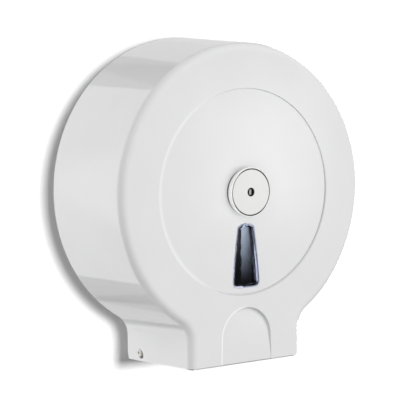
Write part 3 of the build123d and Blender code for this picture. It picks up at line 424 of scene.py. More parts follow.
def thumb_recess_group():
    """Masks of a round-topped recess in the front face: the rim at its left and top, for a painted highlight,
    and its floor, for painted shade.
    """
    inputs = {"Centre": -0.16, "Radius": 0.03, "Foot": -0.2, "Foot Half Width": 0.03, "Front": 0.12,
              "Rim": 0.001}
    tree, given, result = new_group("thumb_recess", inputs, ("Rim", "Floor"))
    centre = given["Centre"]
    parts = object_parts(tree)
    rise = calculate(tree, "MAXIMUM", difference(tree, parts["Z"], centre), 0.0)
    reach = measure(tree, "LENGTH", along_wall(tree, parts["X"], rise))
    half = map_range(tree, parts["Z"], centre, given["Foot"], given["Radius"], given["Foot Half Width"])
    beyond = difference(tree, reach, half)
    outside = smooth_step(tree, beyond, -0.2 * MM, 0.0)
    near = smooth_step(tree, beyond, total(tree, given["Rim"], 0.3 * MM), given["Rim"])
    left = smooth_step(tree, parts["X"], 4 * MM, -12 * MM)
    front = passed(tree, product(tree, parts["Y"], -1.0), given["Front"], 1 * MM)
    tree.links.new(product(tree, outside, near, left, front), result["Rim"])
    inside = smooth_step(tree, beyond, 0.0, -0.6 * MM)
    tree.links.new(product(tree, inside, front), result["Floor"])
    return tree


EFFECTS = {}


def effect(tree, build, **values):
    """Outputs of a shared effect, which is built the first time that a material needs it."""
    if build not in EFFECTS:
        EFFECTS[build] = build()
    sockets = {label.replace("_", " "): value for label, value in values.items()}
    return node(tree, "ShaderNodeGroup", sockets, node_tree=EFFECTS[build]).outputs


# ---- materials
PLASTIC_IOR = 1.49
COVER_IOR = 1.5
METAL_IOR = 2.5
EDGE_BRIGHTENING = 1.25
DUST_COLOUR = (0.52, 0.50, 0.47)
DUST_ROUGHNESS = 0.4  # that thick dust adds


def finished(name, colour, surface, metallic=0.0, ior=PLASTIC_IOR, edge_tint=None, dust=None):
    """Material with an uneven surface, edges in another colour and dust on top; the edge colour is scuffing
    on most pieces and a painted highlight on the cover.
    """
    material, tree, output = new_material(name)
    marks = effect(tree, surface_group, **surface)
    colour_now = blend_colour(tree, 1.0, rgba(colour), marks["Shade"], "MULTIPLY")
    roughness = marks["Roughness"]
    if edge_tint:
        width, amount, edge_tint_colour = edge_tint
        # edge mask: scuffing on most pieces, a painted highlight on the cover's edges
        rubbed = effect(tree, edge_wear_and_highlight_group, Width=width, Amount=amount)["Mask"]
        colour_now = blend_colour(tree, rubbed, colour_now, rgba(edge_tint_colour))
    if dust:
        settled = effect(tree, dust_group, Amount=dust)["Mask"]
        colour_now = blend_colour(tree, settled, colour_now, rgba(DUST_COLOUR))
        roughness = total(tree, roughness, product(tree, settled, DUST_ROUGHNESS))
    sockets = {"Base Color": colour_now, "Roughness": roughness, "Metallic": metallic, "IOR": ior,
               "Normal": bump_normal(tree, marks["Height"])}
    shader = node(tree, "ShaderNodeBsdfPrincipled", sockets)
    tree.links.new(shader.outputs["BSDF"], output.inputs["Surface"])
    return material


def paint_over(material, mask, colour):
    """Covers the masked part of a finished material with another colour."""
    tree = material.node_tree
    target = next(n for n in tree.nodes if n.type == "BSDF_PRINCIPLED").inputs["Base Color"]
    under = target.links[0].from_socket
    tree.links.new(blend_colour(tree, mask, under, rgba(colour)), target)


def paint_ring(material, mask_values, colour):
    """Covers a ring about the lock's axis with another colour."""
    paint_over(material, effect(material.node_tree, ring_group, **mask_values)["Mask"], colour)


def smoked_plastic(name, smoke, rim_tint, rim_shape, gloss):
    """Clear smoked plastic that lets lamps shine through it, paler in its thin rim."""
    material, tree, output = new_material(name)
    surface = {"Gloss": gloss, "Unevenness": 0.5, "Patch_Size": 8 * MM, "Ripple_Height": 0.004 * MM,
               "Ripple_Size": 9 * MM}
    marks = effect(tree, surface_group, **surface)
    rim = effect(tree, window_rim_group, **rim_shape)["Mask"]
    tint = blend_colour(tree, rim, rgba(smoke), rgba(rim_tint))
    sockets = {"Base Color": blend_colour(tree, 1.0, tint, marks["Shade"], "MULTIPLY"),
               "Roughness": marks["Roughness"], "IOR": PLASTIC_IOR, "Transmission Weight": 1.0,
               "Normal": bump_normal(tree, marks["Height"])}
    shader = node(tree, "ShaderNodeBsdfPrincipled", sockets).outputs["BSDF"]
    passing = node(tree, "ShaderNodeBsdfTransparent", {"Color": tint}).outputs["BSDF"]
    rays = node(tree, "ShaderNodeLightPath").outputs
    mixed = node(tree, "ShaderNodeMixShader", {0: rays["Is Shadow Ray"], 1: shader, 2: passing})
    tree.links.new(mixed.outputs["Shader"], output.inputs["Surface"])
    return material


def metal(name, colour, gloss, scratch_height):
    """Plated or bare metal with a fine spangle and brighter edges."""
    surface = {"Gloss": gloss, "Unevenness": 0.6, "Patch_Size": 2.5 * MM, "Grain_Height": scratch_height,
               "Grain_Size": 0.25 * MM}
    bright = tuple(min(1.0, channel * EDGE_BRIGHTENING) for channel in colour)
    return finished(name, colour, surface, metallic=1.0, ior=METAL_IOR, edge_tint=(0.25 * MM, 0.6, bright))


def put(material, *names):
    """Gives CAD nodes one material all over."""
    for name in names:
        mesh = NODES[name].data
        mesh.materials.clear()
        mesh.materials.append(material)


# ---- cover, window and inside pieces
class DISPENSER_OT_cover(bpy.types.Operator):
    """Give the cover its glossy white finish with painted highlights and painted shade, and the serrated
    strip its satin grey one
    """

    bl_idname = "dispenser.cover"
    bl_label = "Cover"

    def execute(self, context):
        values = context.scene.dispenser_cover
        polished = {"Gloss": values.gloss, "Unevenness": 0.25, "Patch_Size": 45 * MM,
                    "Ripple_Height": values.ripple_height, "Ripple_Size": 38 * MM,
                    "Grain_Height": 0.0003 * MM, "Grain_Size": 0.9 * MM}
        # painted highlight: the cover's outer edges lightened to near white
        edge_highlight = (1.0 * MM, 1.0, (0.99, 0.99, 1.0))
        white = finished(
            "cover_white", values.colour, polished, ior=COVER_IOR, edge_tint=edge_highlight, dust=0.03
        )
        # painted highlight along the field's left edge
        field_highlight = {"Inner": FIELD_RADIUS - 1.0 * MM, "Outer": FIELD_RADIUS + 1.0 * MM,
                      "Low": FIELD_LEVEL, "Softness": 2.2 * MM, "One_Side": 1.0}
        paint_ring(white, field_highlight, values.field_highlight_colour)
        # painted shade along the field's edge at its lower right
        field_foot_shade = {"Inner": FIELD_RADIUS - 0.3 * MM, "Outer": FIELD_RADIUS + 1.5 * MM,
                      "Low": FIELD_LEVEL, "Softness": 0.6 * MM, "One_Side": 1.0, "Way_X": 0.65,
                      "Way_Z": -0.76}
        paint_ring(white, field_foot_shade, values.field_foot_shade_colour)
        recess_shape = {"Centre": RECESS_TOP - RECESS_RADIUS, "Radius": RECESS_RADIUS, "Foot": RECESS_FOOT,
                        "Foot_Half_Width": RECESS_FOOT_HALF_WIDTH, "Front": RECESS_LEVEL,
                        "Rim": values.rim_width}
        recess = effect(white.node_tree, thumb_recess_group, **recess_shape)
        # painted shade on the recess's floor and a painted highlight on its rim at the left and top
        paint_over(white, recess["Floor"], values.recess_shade_colour)
        paint_over(white, recess["Rim"], values.rim_highlight_colour)
        put(white, "front_cover")
        satin = {"Gloss": 0.34, "Grain_Height": 0.004 * MM, "Grain_Size": 0.5 * MM}
        rubbed_teeth = (0.3 * MM, 0.5, grey(0.5))
        put(finished("strip_grey", values.strip_colour, satin, edge_tint=rubbed_teeth), "tear_strip")
        return {"FINISHED"}


class DISPENSER_OT_window(bpy.types.Operator):
    """Give the window its smoked, see-through finish"""

    bl_idname = "dispenser.window"
    bl_label = "Smoked window"

    def execute(self, context):
        values = context.scene.dispenser_window
        low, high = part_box("inspection_window")
        rim_shape = {"Top": high[2], "Foot": low[2], "Top_Half_Width": values.top_half_width,
                     "Foot_Half_Width": high[0], "Dome": 4 * MM, "Rim": values.rim_width}
        smoked = smoked_plastic("smoked_pane", values.smoke, values.rim_tint, rim_shape, values.gloss)
        put(smoked, "inspection_window")
        return {"FINISHED"}


class DISPENSER_OT_inside(bpy.types.Operator):
    """Give the plate, spindle, hub, pins and the lock's inner plastic pieces their finishes"""

    bl_idname = "dispenser.inside"
    bl_label = "Inside pieces"

    def execute(self, context):
        values = context.scene.dispenser_inside
        grained = {"Gloss": 0.42, "Patch_Size": 25 * MM, "Grain_Height": 0.012 * MM, "Grain_Size": 0.6 * MM}
        smooth = {"Gloss": 0.27, "Patch_Size": 18 * MM, "Grain_Height": 0.002 * MM, "Grain_Size": 0.5 * MM}
        waxy = {"Gloss": 0.36, "Patch_Size": 9 * MM, "Grain_Height": 0.001 * MM, "Grain_Size": 0.3 * MM}
        dark, light = grey(0.3), grey(0.72)
        for name, colour, surface, edge_tint, dust, pieces in (
            ("plate_grain", values.plate_colour, grained, (0.4 * MM, 0.35, grey(0.2)), 0.25, ["wall_plate"]),
            ("pin_nylon", values.pin_colour, waxy, None, None, ["hinge_pin_left", "hinge_pin_right"]),
            ("spindle_grey", values.spindle_colour, smooth, (0.4 * MM, 0.4, light), 0.25, ["roll_spindle"]),
            ("hub_white", values.hub_colour, smooth, (0.4 * MM, 0.3, light), 0.3, ["core_hub"]),
            ("adapter_grey", values.adapter_colour, grained, (0.5 * MM, 0.5, light), 0.3, ["core_adapter"]),
            ("washer_acetal", values.washer_colour, waxy, None, None, ["hub_thrust_washer"]),
            ("keeper_black", values.keeper_colour, smooth, (0.4 * MM, 0.7, dark), None, ["lock_keeper"]),
            ("nut_black", values.nut_colour, grained, (0.4 * MM, 0.4, dark), None, ["lock_nut"]),
        ):
            put(finished(name, colour, surface, edge_tint=edge_tint, dust=dust), *pieces)
        return {"FINISHED"}


# ---- meshes
def mesh_of(built, name):
    """Plain mesh of what was built, with its faces turned outwards."""
    bmesh.ops.recalc_face_normals(built, faces=built.faces)
    mesh = bpy.data.meshes.new(name)
    built.to_mesh(mesh)
    built.free()
    return mesh


def close_rings(built, low, high):
    """Caps on two rings of corners, and the walls between them."""
    built.faces.new(low[::-1])
    built.faces.new(high)
    for i, corner in enumerate(low):
        after = (i + 1) % len(low)
        built.faces.new((corner, low[after], high[after], high[i]))


def linked(name, data):
    """New object in the scene."""
    body = bpy.data.objects.new(name, data)
    bpy.context.scene.collection.objects.link(body)
    return body


def evaluated_mesh(body, name):
    """Plain mesh of an object with its modifiers applied."""
    graph = bpy.context.evaluated_depsgraph_get()
    graph.update()
    mesh = bpy.data.meshes.new_from_object(body.evaluated_get(graph))
    mesh.name = name
    return mesh


def shade_smooth(mesh):
    """Smooth faces with crisp edges."""
    mesh.shade_smooth()
    mesh.set_sharp_from_angle(angle=SHARP_ANGLE)


# ---- lock
def post_mesh(foot, front):
    """Post with two flats that stands in the key hole, between two levels out of the wall."""
    turn = math.acos(POST_FLAT / POST_RADIUS)
    steps = 8
    upper = [turn + (math.pi - 2 * turn) * step / steps for step in range(steps + 1)]
    built = bmesh.new()
    low, high = (
        [built.verts.new((POST_RADIUS * math.cos(a), -level, POST_RADIUS * math.sin(a)))
         for a in upper + [a + math.pi for a in upper]]
        for level in (foot, front)
    )
    close_rings(built, low, high)
    front_edges = [edge for edge in built.edges if all(vert in high for vert in edge.verts)]
    bmesh.ops.bevel(built, geom=front_edges, offset=POST_ROUNDING, segments=3, profile=0.5, affect="EDGES")
    return mesh_of(built, "key_post_tip")


class DISPENSER_OT_lock(bpy.types.Operator):
    """Give the lock's boss, disc and barrel their finishes, with painted shade in the gap round the disc,
    dark olive on the key hole's wall and a painted highlight on the post's tip
    """

    bl_idname = "dispenser.lock"
    bl_label = "Lock"

    def execute(self, context):
        values = context.scene.dispenser_lock
        satin = {"Gloss": 0.15, "Patch_Size": 12 * MM, "Grain_Height": 0.002 * MM, "Grain_Size": 0.35 * MM}
        # dark olive on the key hole's wall
        hole = {"Inner": -1 * MM, "Outer": KEY_HOLE_RADIUS + 0.2 * MM, "High": DISC_FRONT - 0.3 * MM}
        # painted shade in the gap round the disc
        gap = {"Inner": DISC_RADIUS - 0.4 * MM, "Outer": DISC_RADIUS + 1.1 * MM,
               "High": LOCK_FRONT - 0.25 * MM}
        # painted shade on the edges beside the gap, kept above and below
        edge = {"Inner": DISC_RADIUS - 0.3 * MM, "Outer": DISC_RADIUS + 1.0 * MM, "Lean": 0.9}
        for name in ("lock_housing", "lock_face"):
            material = finished(name + "_white", values.colour, satin)
            paint_ring(material, hole, values.hole_colour)
            paint_ring(material, gap, values.gap_shade_colour)
            paint_ring(material, edge, values.gap_shade_colour)
            put(material, name)
        dark = {"Gloss": 0.38, "Grain_Height": 0.003 * MM, "Grain_Size": 0.4 * MM}
        put(finished("barrel_dark", values.rotor_colour, dark), "lock_rotor")

        tip_front = DISC_FRONT - values.post_sink
        # painted highlight on the lit front face of the post's tip
        tip_highlight = finished("post_worn", values.rotor_colour, dark)
        front_face = {"Inner": -1 * MM, "Outer": KEY_HOLE_RADIUS, "Low": tip_front - 0.1 * MM}
        paint_ring(tip_highlight, front_face, values.post_highlight_colour)
        foot = -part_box("lock_rotor")[0][1] - POST_DEPTH - POST_OVERLAP
        tip = linked("key_post_tip", post_mesh(foot, tip_front))
        tip.data.materials.append(tip_highlight)
        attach(tip, "lock")
        return {"FINISHED"}


# ---- screws, cam and springs
def pan_head_profile(head_radius, head_height, shank_radius, length):
    """Points from the head's top, on the axis, to the screw's tip; the head's seat lies at 0."""
    steps = 6
    dome = head_radius * HEAD_DOME
    flat = head_radius - dome
    points = [(0.0, head_height), (flat, head_height)]
    for step in range(1, steps + 1):
        turn = math.pi / 2 * step / steps
        points.append((flat + dome * math.sin(turn), head_height - dome + dome * math.cos(turn)))
    tip = shank_radius * SHANK_TIP
    points += [(head_radius, 0.0), (shank_radius, 0.0), (shank_radius, tip - length), (0.0, -length)]
    return points


def turned_mesh(name, profile, segments=40):
    """Closed mesh of a profile turned about the Z axis."""
    built = bmesh.new()
    verts = [built.verts.new((radius, 0.0, height)) for radius, height in profile]
    edges = [built.edges.new(pair) for pair in zip(verts, verts[1:])]
    bmesh.ops.spin(
        built, geom=verts + edges, axis=(0, 0, 1), cent=(0, 0, 0), steps=segments, angle=2 * math.pi
    )
    bmesh.ops.remove_doubles(built, verts=built.verts, dist=0.001 * MM)
    return mesh_of(built, name)


def cross_cutter(head_radius, head_height, depth):
    """Tapered cross that cuts the recess in a screw's head."""
    built = bmesh.new()
    arm, half = head_radius * CROSS_ARM, head_radius * CROSS_HALF_WIDTH
    for turn in (0.0, math.pi / 2):
        corners = []
        for level, share in zip((head_height - depth, head_height + depth), CROSS_TAPER):
            width = half * (0.6 + 0.4 * share)   # tapers less than the arm
            for x, y in ((-1, -1), (1, -1), (1, 1), (-1, 1)):
                place = Matrix.Rotation(turn, 3, "Z") @ Vector((x * arm * share, y * width, level))
                corners.append(built.verts.new(place))
        close_rings(built, corners[:4], corners[4:])
    return mesh_of(built, "cross_cutter")


def screw_object(name, head_radius, head_height, shank_radius, length, recess_depth):
    """One pan-head screw along Z with a cross recess."""
    profile = pan_head_profile(head_radius, head_height, shank_radius, length)
    body = linked(name, turned_mesh(name, profile))
    cutter = linked("cutter", cross_cutter(head_radius, head_height, recess_depth))
    cut = body.modifiers.new("recess", "BOOLEAN")
    cut.operation = "DIFFERENCE"
    cut.solver = "EXACT"
    cut.use_self = True
    cut.object = cutter
    body.data = evaluated_mesh(body, name)
    body.modifiers.remove(cut)
    bpy.data.objects.remove(cutter)
    return body


def ring_of_copies_tree():
    """Geometry Nodes: copies of a piece on a circle about the Y axis, turned to point along -Y."""
    tree = bpy.data.node_groups.new("ring_of_copies", "GeometryNodeTree")
    face = tree.interface
    inputs = {"Geometry": "Geometry", "Count": "Int", "Circle Radius": "Float", "First Angle": "Float",
              "Level": "Float", "Turn": "Float", "Material": "Material"}
    for label, kind in inputs.items():
        face.new_socket(label, in_out="INPUT", socket_type="NodeSocket" + kind)
    face.new_socket("Geometry", in_out="OUTPUT", socket_type="NodeSocketGeometry")
    given = tree.nodes.new("NodeGroupInput").outputs
    index = node(tree, "GeometryNodeInputIndex").outputs[0]
    share = calculate(tree, "DIVIDE", index, given["Count"])
    turn = calculate(tree, "MULTIPLY_ADD", share, 2 * math.pi, given["First Angle"])
    across = product(tree, given["Circle Radius"], calculate(tree, "COSINE", turn))
    up = product(tree, given["Circle Radius"], calculate(tree, "SINE", turn))
    out = product(tree, given["Level"], -1.0)
    place = node(tree, "ShaderNodeCombineXYZ", {"X": across, "Y": out, "Z": up}).outputs[0]
    points = node(tree, "GeometryNodePoints", {"Count": given["Count"], "Position": place}).outputs[0]
    spin = product(tree, share, given["Turn"])
    facing = node(tree, "ShaderNodeCombineXYZ", {"X": math.pi / 2, "Y": spin, "Z": 0.0}).outputs[0]
    sockets = {"Points": points, "Instance": given["Geometry"], "Rotation": facing}
    copies = node(tree, "GeometryNodeInstanceOnPoints", sockets).outputs[0]
    real = node(tree, "GeometryNodeRealizeInstances", {"Geometry": copies}).outputs[0]
    dressed = node(tree, "GeometryNodeSetMaterial", {"Geometry": real, "Material": given["Material"]})
    tree.links.new(dressed.outputs[0], tree.nodes.new("NodeGroupOutput").inputs[0])
    return tree


def ring_of_copies(body, name, tree, **values):
    """Turns one piece into a plain mesh of copies on a circle."""
    spread = body.modifiers.new("ring", "NODES")
    spread.node_group = tree
    for item in tree.interface.items_tree:
        label = item.name.replace(" ", "_")
        if item.in_out == "INPUT" and label in values:
            spread[item.identifier] = values[label]
    body.data = evaluated_mesh(body, name)
    body.modifiers.remove(spread)
    body.name = name


class DISPENSER_OT_metal(bpy.types.Operator):
    """Make the cross-recess screws, and give the cam and the springs their metal finishes"""

    bl_idname = "dispenser.metal"
    bl_label = "Screws, cam and springs"

    def execute(self, context):
        values = context.scene.dispenser_metal
        zinc = metal("zinc_plating", values.zinc_colour, 0.26, 0.002 * MM)
        spring = metal("spring_steel", values.spring_colour, 0.30, 0.002 * MM)
        put(spring, "hub_retaining_ring", "lock_spring_washer")
        put(metal("cast_zinc", values.cast_colour, 0.40, 0.006 * MM), "lock_cam")

        side_reach = values.circle_radius * math.cos(SIDE_SCREW_ANGLE)
        head_radius = (SCREWS_HIGH[0] - SCREWS_LOW[0]) / 2 - side_reach
        seat = -SCREWS_LOW[1] - SCREW_HEAD_HEIGHT
        length = seat + SCREWS_HIGH[1]
        body = screw_object(
            "screw", head_radius, SCREW_HEAD_HEIGHT, SCREW_SHANK_RADIUS, length, values.recess_depth
        )
        ring_of_copies(
            body, "cross_recess_screws", ring_of_copies_tree(), Count=values.screw_count,
            Circle_Radius=values.circle_radius, First_Angle=math.pi / 2, Level=seat, Turn=SCREW_TURN,
            Material=zinc,
        )
        shade_smooth(body.data)
        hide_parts("spindle_screws")
        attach(body, "base")

        seat = CAM_SCREW_HIGH[1] - CAM_SCREW_HEAD_HEIGHT
        single = screw_object(
            "cam_cross_recess_screw", CAM_SCREW_HIGH[2], CAM_SCREW_HEAD_HEIGHT, CAM_SCREW_SHANK_RADIUS,
            seat - CAM_SCREW_LOW[1], values.recess_depth,
        )
        head_to_wall = Matrix.Rotation(-math.pi / 2, 4, "X")
        single.data.transform(Matrix.Translation((0, seat, 0)) @ head_to_wall)
        single.data.materials.append(zinc)
        shade_smooth(single.data)
        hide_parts("lock_cam_screw")
        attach(single, "lock")
        return {"FINISHED"}


# ---- stage
CAMERA_PLACE = Vector((-1.10826, -1.59780, 0.16000))
CAMERA_YAW = math.radians(35.777)
CAMERA_PITCH = math.radians(5.595)
CAMERA_ROLL = math.radians(-0.559)
CAMERA_LENS = 142.0
CAMERA_SENSOR_WIDTH = 36.0
MIDDLE = Vector((0.0, -0.1, 0.0))
MIRRORED_WAY = (37.5, -5)  # azimuth and elevation that the face mirrors to the camera
MIRRORED_DISTANCE = 2.2
PANEL_HEIGHT = 3.9
CARD_WAYS = (MIRRORED_WAY, (-142, 0), (-52, 0), (128, 0), (37.5, 80), (37.5, -80))
CARD_DISTANCE = 2.6
CARD_SIZE = (5.2, 5.2)
WALL_REACH = 3.0
SOFT_LAMPS = {  # way, distance and size
    "front_lamp": ((28, 20), 5.0, (4.0, 4.0)),
    "side_lamp": ((-132, 0), 2.2, (1.2, 5.0)),
    "top_lamp": ((-75, 40), 3.0, (2.5, 2.5)),
    "low_lamp": ((-40, -35), 3.0, (2.5, 2.5)),
    "boss_lamp": ((-65, -10), 2.0, (1.5, 1.5)),
}
WINDOW_RIM_LAMPS = (((110, 0), 0.5), ((-62, 0), 0.8), ((80, 54), 0.6), ((100, -54), 0.8))  # way, share
WINDOW_RIM_LAMP_SIZE = (2.0, 2.0)
RIM_LAMP_DISTANCE = 2.0
PANE_LIGHT = (0.69, 0.81, 1.0)
PANE_RIM_LIGHT = (0.80, 0.86, 1.0)


def camera_axes():
    """Right, up and backward directions of the camera."""
    look = Vector((
        math.sin(CAMERA_YAW) * math.cos(CAMERA_PITCH),
        math.cos(CAMERA_YAW) * math.cos(CAMERA_PITCH),
        -math.sin(CAMERA_PITCH),
    ))
    right = Vector((math.cos(CAMERA_YAW), -math.sin(CAMERA_YAW), 0.0))
    up = right.cross(look)
    c, s = math.cos(CAMERA_ROLL), math.sin(CAMERA_ROLL)
    return c * right + s * up, c * up - s * right, -look


def angled_camera():
    """Camera that sees the dispenser from the left, a little from above."""
    data = bpy.data.cameras.new("camera")
    data.lens = CAMERA_LENS
    data.sensor_width = CAMERA_SENSOR_WIDTH
    camera = linked("camera", data)
    turn = Matrix(camera_axes()).transposed().to_4x4()
    camera.matrix_world = Matrix.Translation(CAMERA_PLACE) @ turn
    return camera


def around(azimuth, elevation, distance):
    """Place at a distance; azimuth 0 is in front and 90 to the right, in degrees."""
    a, e = math.radians(azimuth), math.radians(elevation)
    return Vector((math.sin(a) * math.cos(e), -math.cos(a) * math.cos(e), math.sin(e))) * distance


def lamp(name, place, target, size, brightness, hidden_from=None):
    """Soft rectangular lamp of an even brightness that faces a point.

    Hidden from diffuse it is only mirrored, and hidden from glossy it isn't mirrored.
    """
    data = bpy.data.lights.new(name, "AREA")
    data.shape = "RECTANGLE"
    data.size, data.size_y = size
    data.energy = brightness * math.pi * size[0] * size[1]
    body = linked(name, data)
    body.location = place
    body.rotation_euler = (Vector(target) - Vector(place)).to_track_quat("-Z", "Y").to_euler()
    body.visible_camera = False
    if hidden_from:
        setattr(body, "visible_" + hidden_from, False)
    return body


def panel(name, x, y, width, brightness, hidden_from=None):
    """Tall lamp behind the wall that faces straight forward."""
    return lamp(name, (x, y, 0.0), (x, 0.0, 0.0), (width, PANEL_HEIGHT), brightness, hidden_from)


def mirrored_lamp(name, across, along, brightness):
    """Lamp that the flat face mirrors to the camera, with its edges given from one shared middle."""
    centre = around(*MIRRORED_WAY, MIRRORED_DISTANCE)
    turn = (MIDDLE - centre).to_track_quat("-Z", "Y")
    place = centre + turn @ Vector((sum(across) / 2, sum(along) / 2, 0.0))
    size = (across[1] - across[0], along[1] - along[0])
    body = lamp(name, place, MIDDLE, size, brightness, "diffuse")
    body.rotation_euler = turn.to_euler()
    return body


def feather(body, *fades):
    """Fades a lamp along ways in its own plane.

    Each fade has a way's angle in degrees, and how far along it from the middle the lamp is dark and bright.
    """
    body.data.use_nodes = True
    tree = body.data.node_tree
    emission = next(n for n in tree.nodes if n.type == "EMISSION")
    spread = node(tree, "ShaderNodeNewGeometry").outputs["Parametric"]
    parts = node(tree, "ShaderNodeSeparateXYZ", {0: spread}).outputs
    size = {"X": body.data.size, "Y": body.data.size_y}
    place = {axis: product(tree, difference(tree, parts[axis], 0.5), size[axis]) for axis in size}
    strength = 1.0
    for angle, dark, bright in fades:
        turn = math.radians(angle)
        across = product(tree, place["X"], math.cos(turn))
        level = calculate(tree, "MULTIPLY_ADD", place["Y"], math.sin(turn), across)
        strength = product(tree, strength, smooth_step(tree, level, dark, bright))
    tree.links.new(strength, emission.inputs["Strength"])


def light_only(body, receiver, state="INCLUDE"):
    """Lets a lamp light only one object, or everything but that object."""
    receivers = bpy.data.collections.new(body.name + "_receivers")
    receivers.objects.link(receiver)
    receivers.collection_objects[0].light_linking.link_state = state
    body.light_linking.receiver_collection = receivers


def no_shadow_from(body, things):
    """Keeps objects from casting a shadow in a lamp's light."""
    blockers = bpy.data.collections.new(body.name + "_blockers")
    for thing in things:
        blockers.objects.link(thing)
    for entry in blockers.collection_objects:
        entry.light_linking.link_state = "EXCLUDE"
    body.light_linking.blocker_collection = blockers


def wall_paint(white):
    """Matt white paint, see-through from behind."""
    material, tree, output = new_material("wall_paint")
    diffuse = node(tree, "ShaderNodeBsdfDiffuse", {"Color": grey(white)}).outputs["BSDF"]
    clear = node(tree, "ShaderNodeBsdfTransparent").outputs["BSDF"]
    behind = node(tree, "ShaderNodeNewGeometry").outputs["Backfacing"]
    mixed = node(tree, "ShaderNodeMixShader", {0: behind, 1: diffuse, 2: clear})
    tree.links.new(mixed.outputs["Shader"], output.inputs["Surface"])
    return material


def wall_plane(gap, white):
    """Wall that takes the shadow, seen directly and through the window but not mirrored."""
    mesh = bpy.data.meshes.new("wall")
    corners = [(x * WALL_REACH, gap, z * WALL_REACH) for x, z in ((-1, -1), (1, -1), (1, 1), (-1, 1))]
    mesh.from_pydata(corners, [], [(0, 1, 2, 3)])
    wall = linked("wall", mesh)
    mesh.materials.append(wall_paint(white))
    wall.visible_diffuse = False
    wall.visible_glossy = False
    wall.visible_shadow = False
    return wall


def studio_world(ambient, mirrored_room):
    """Even light that is white to the camera and through glass, and dimmer in polished surfaces."""
    world = bpy.data.worlds.new("studio")
    world.use_nodes = True
    tree = world.node_tree
    tree.nodes.clear()
    output = tree.nodes.new("ShaderNodeOutputWorld")
    rays = node(tree, "ShaderNodeLightPath").outputs
    light = node(tree, "ShaderNodeBackground", {"Strength": ambient}).outputs["Background"]
    for ray, level in (("Glossy", mirrored_room), ("Transmission", 1.0), ("Camera", 1.0)):
        other = node(tree, "ShaderNodeBackground", {"Strength": level}).outputs["Background"]
        light = node(tree, "ShaderNodeMixShader", {0: rays["Is %s Ray" % ray], 1: light, 2: other}).outputs[0]
    tree.links.new(light, output.inputs["Surface"])
    return world


def set_room(values):
    """Lit panels behind the wall, mirrored in the round side, and grey cards all round."""
    feather(panel("left_panel", -1.55, 2.0, 2.5, values.left_panel), (2.3, -1.09, -1.07))
    brighter = panel("left_panel_far_side", -2.2, 1.99, 1.2, values.left_panel * 0.5, "diffuse")
    feather(brighter, (0.0, -0.6, -0.43))
    feather(panel("right_panel", 0.95, 2.0, 1.7, values.right_panel, "diffuse"), (6.8, 0.59, 0.57))
    for way in CARD_WAYS:
        card = lamp("room_card", around(*way, CARD_DISTANCE), MIDDLE, CARD_SIZE, values.room_card, "diffuse")
        light_only(card, NODES["inspection_window"], "EXCLUDE")


def set_soft_lamps(values, wall):
    """Lamps that aren't mirrored: large ones for all but the wall, and one for the lock's boss."""
    lamps = {
        name: lamp(name, around(*way, distance), MIDDLE, size, getattr(values, name), "glossy")
        for name, (way, distance, size) in SOFT_LAMPS.items()
    }
    no_shadow_from(lamps["front_lamp"], [NODES["lock_housing"], NODES["lock_face"]])
    light_only(lamps.pop("boss_lamp"), NODES["lock_housing"])
    for body in lamps.values():
        light_only(body, wall, "EXCLUDE")


def set_mirrored_lamps(values, wall):
    """Patch mirrored in the face, boxes mirrored in the window alone, and a card mirrored in the rims."""
    sheen = mirrored_lamp("sheen_lamp", (-0.34, 0.17), (-0.19, 0.36), values.sheen_lamp)
    feather(sheen, (0, -0.255, 0.06), (0, 0.255, 0.06), (90, -0.275, -0.03), (90, 0.275, 0.05))
    light_only(sheen, wall, "EXCLUDE")
    box = mirrored_lamp("window_lamp", (-0.103, 0.20), (-0.225, 0.02), values.window_lamp)
    feather(box, (90, -0.11, 0.0725), (0, -0.118, -0.152))
    bright = values.window_rim_lamp
    rims = [mirrored_lamp("window_foot_lamp", (-0.15, -0.03), (-0.245, -0.2145), bright * 2.0)]
    for way, share in WINDOW_RIM_LAMPS:
        place = around(*way, RIM_LAMP_DISTANCE)
        rims.append(lamp("window_rim_lamp", place, MIDDLE, WINDOW_RIM_LAMP_SIZE, bright * share, "diffuse"))
    for body, colour in ((box, PANE_LIGHT), *((rim, PANE_RIM_LIGHT) for rim in rims)):
        body.data.color = colour
        light_only(body, NODES["inspection_window"])
    card = lamp("rim_lamp", around(115, 5, RIM_LAMP_DISTANCE), MIDDLE, (1.0, 1.6), values.rim_lamp, "diffuse")
    light_only(card, wall, "EXCLUDE")


def set_wall_lamp(strength, wall):
    """Small far lamp that throws the object's shadow on the wall."""
    key = lamp("wall_lamp", (0.29, -3.0, 0.11), (0, 0, 0), (0.34, 0.30), 1.0, "glossy")
    distance = key.location.length
    key.data.energy = strength * math.pi * math.pi * distance * distance
    light_only(key, wall)


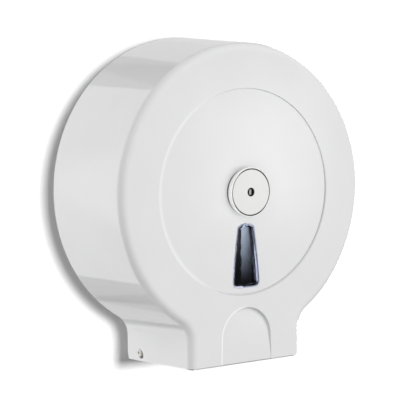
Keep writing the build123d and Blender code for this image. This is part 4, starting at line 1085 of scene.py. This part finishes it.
class DISPENSER_OT_stage(bpy.types.Operator):
    """Set up the wall, the lamps and the camera"""

    bl_idname = "dispenser.stage"
    bl_label = "Studio"

    def execute(self, context):
        values = context.scene.dispenser_stage
        scene = context.scene
        scene.view_settings.view_transform = "Standard"
        scene.world = studio_world(values.ambient, values.mirrored_room)
        wall = wall_plane(values.wall_gap, values.wall_white)
        set_room(values)
        set_soft_lamps(values, wall)
        set_mirrored_lamps(values, wall)
        set_wall_lamp(values.wall_lamp, wall)
        scene.camera = angled_camera()
        return {"FINISHED"}


class DISPENSER_PT_panel(bpy.types.Panel):
    """Buttons that dress the dispenser"""

    bl_idname = "DISPENSER_PT_panel"
    bl_label = "Round paper dispenser"
    bl_space_type = "VIEW_3D"
    bl_region_type = "UI"
    bl_category = "Dispenser"

    def draw(self, context):
        for operator in OPERATORS:
            self.layout.operator(operator.bl_idname)


SETTINGS = {
    "dispenser_cover": CoverSettings,
    "dispenser_window": WindowSettings,
    "dispenser_lock": LockSettings,
    "dispenser_inside": InsideSettings,
    "dispenser_metal": MetalSettings,
    "dispenser_stage": StageSettings,
}
OPERATORS = (
    DISPENSER_OT_cover, DISPENSER_OT_window, DISPENSER_OT_lock,
    DISPENSER_OT_inside, DISPENSER_OT_metal, DISPENSER_OT_stage,
)


def register():
    for name, settings in SETTINGS.items():
        bpy.utils.register_class(settings)
        setattr(bpy.types.Scene, name, PointerProperty(type=settings))
    for shown in (*OPERATORS, DISPENSER_PT_panel):
        bpy.utils.register_class(shown)


def unregister():
    for shown in (DISPENSER_PT_panel, *reversed(OPERATORS)):
        bpy.utils.unregister_class(shown)
    for name, settings in reversed(list(SETTINGS.items())):
        delattr(bpy.types.Scene, name)
        bpy.utils.unregister_class(settings)


def main():
    register()
    bpy.ops.dispenser.cover()
    bpy.ops.dispenser.window()
    bpy.ops.dispenser.lock()
    bpy.ops.dispenser.inside()
    bpy.ops.dispenser.metal()
    bpy.ops.dispenser.stage()


if __name__ == "__main__":
    main()
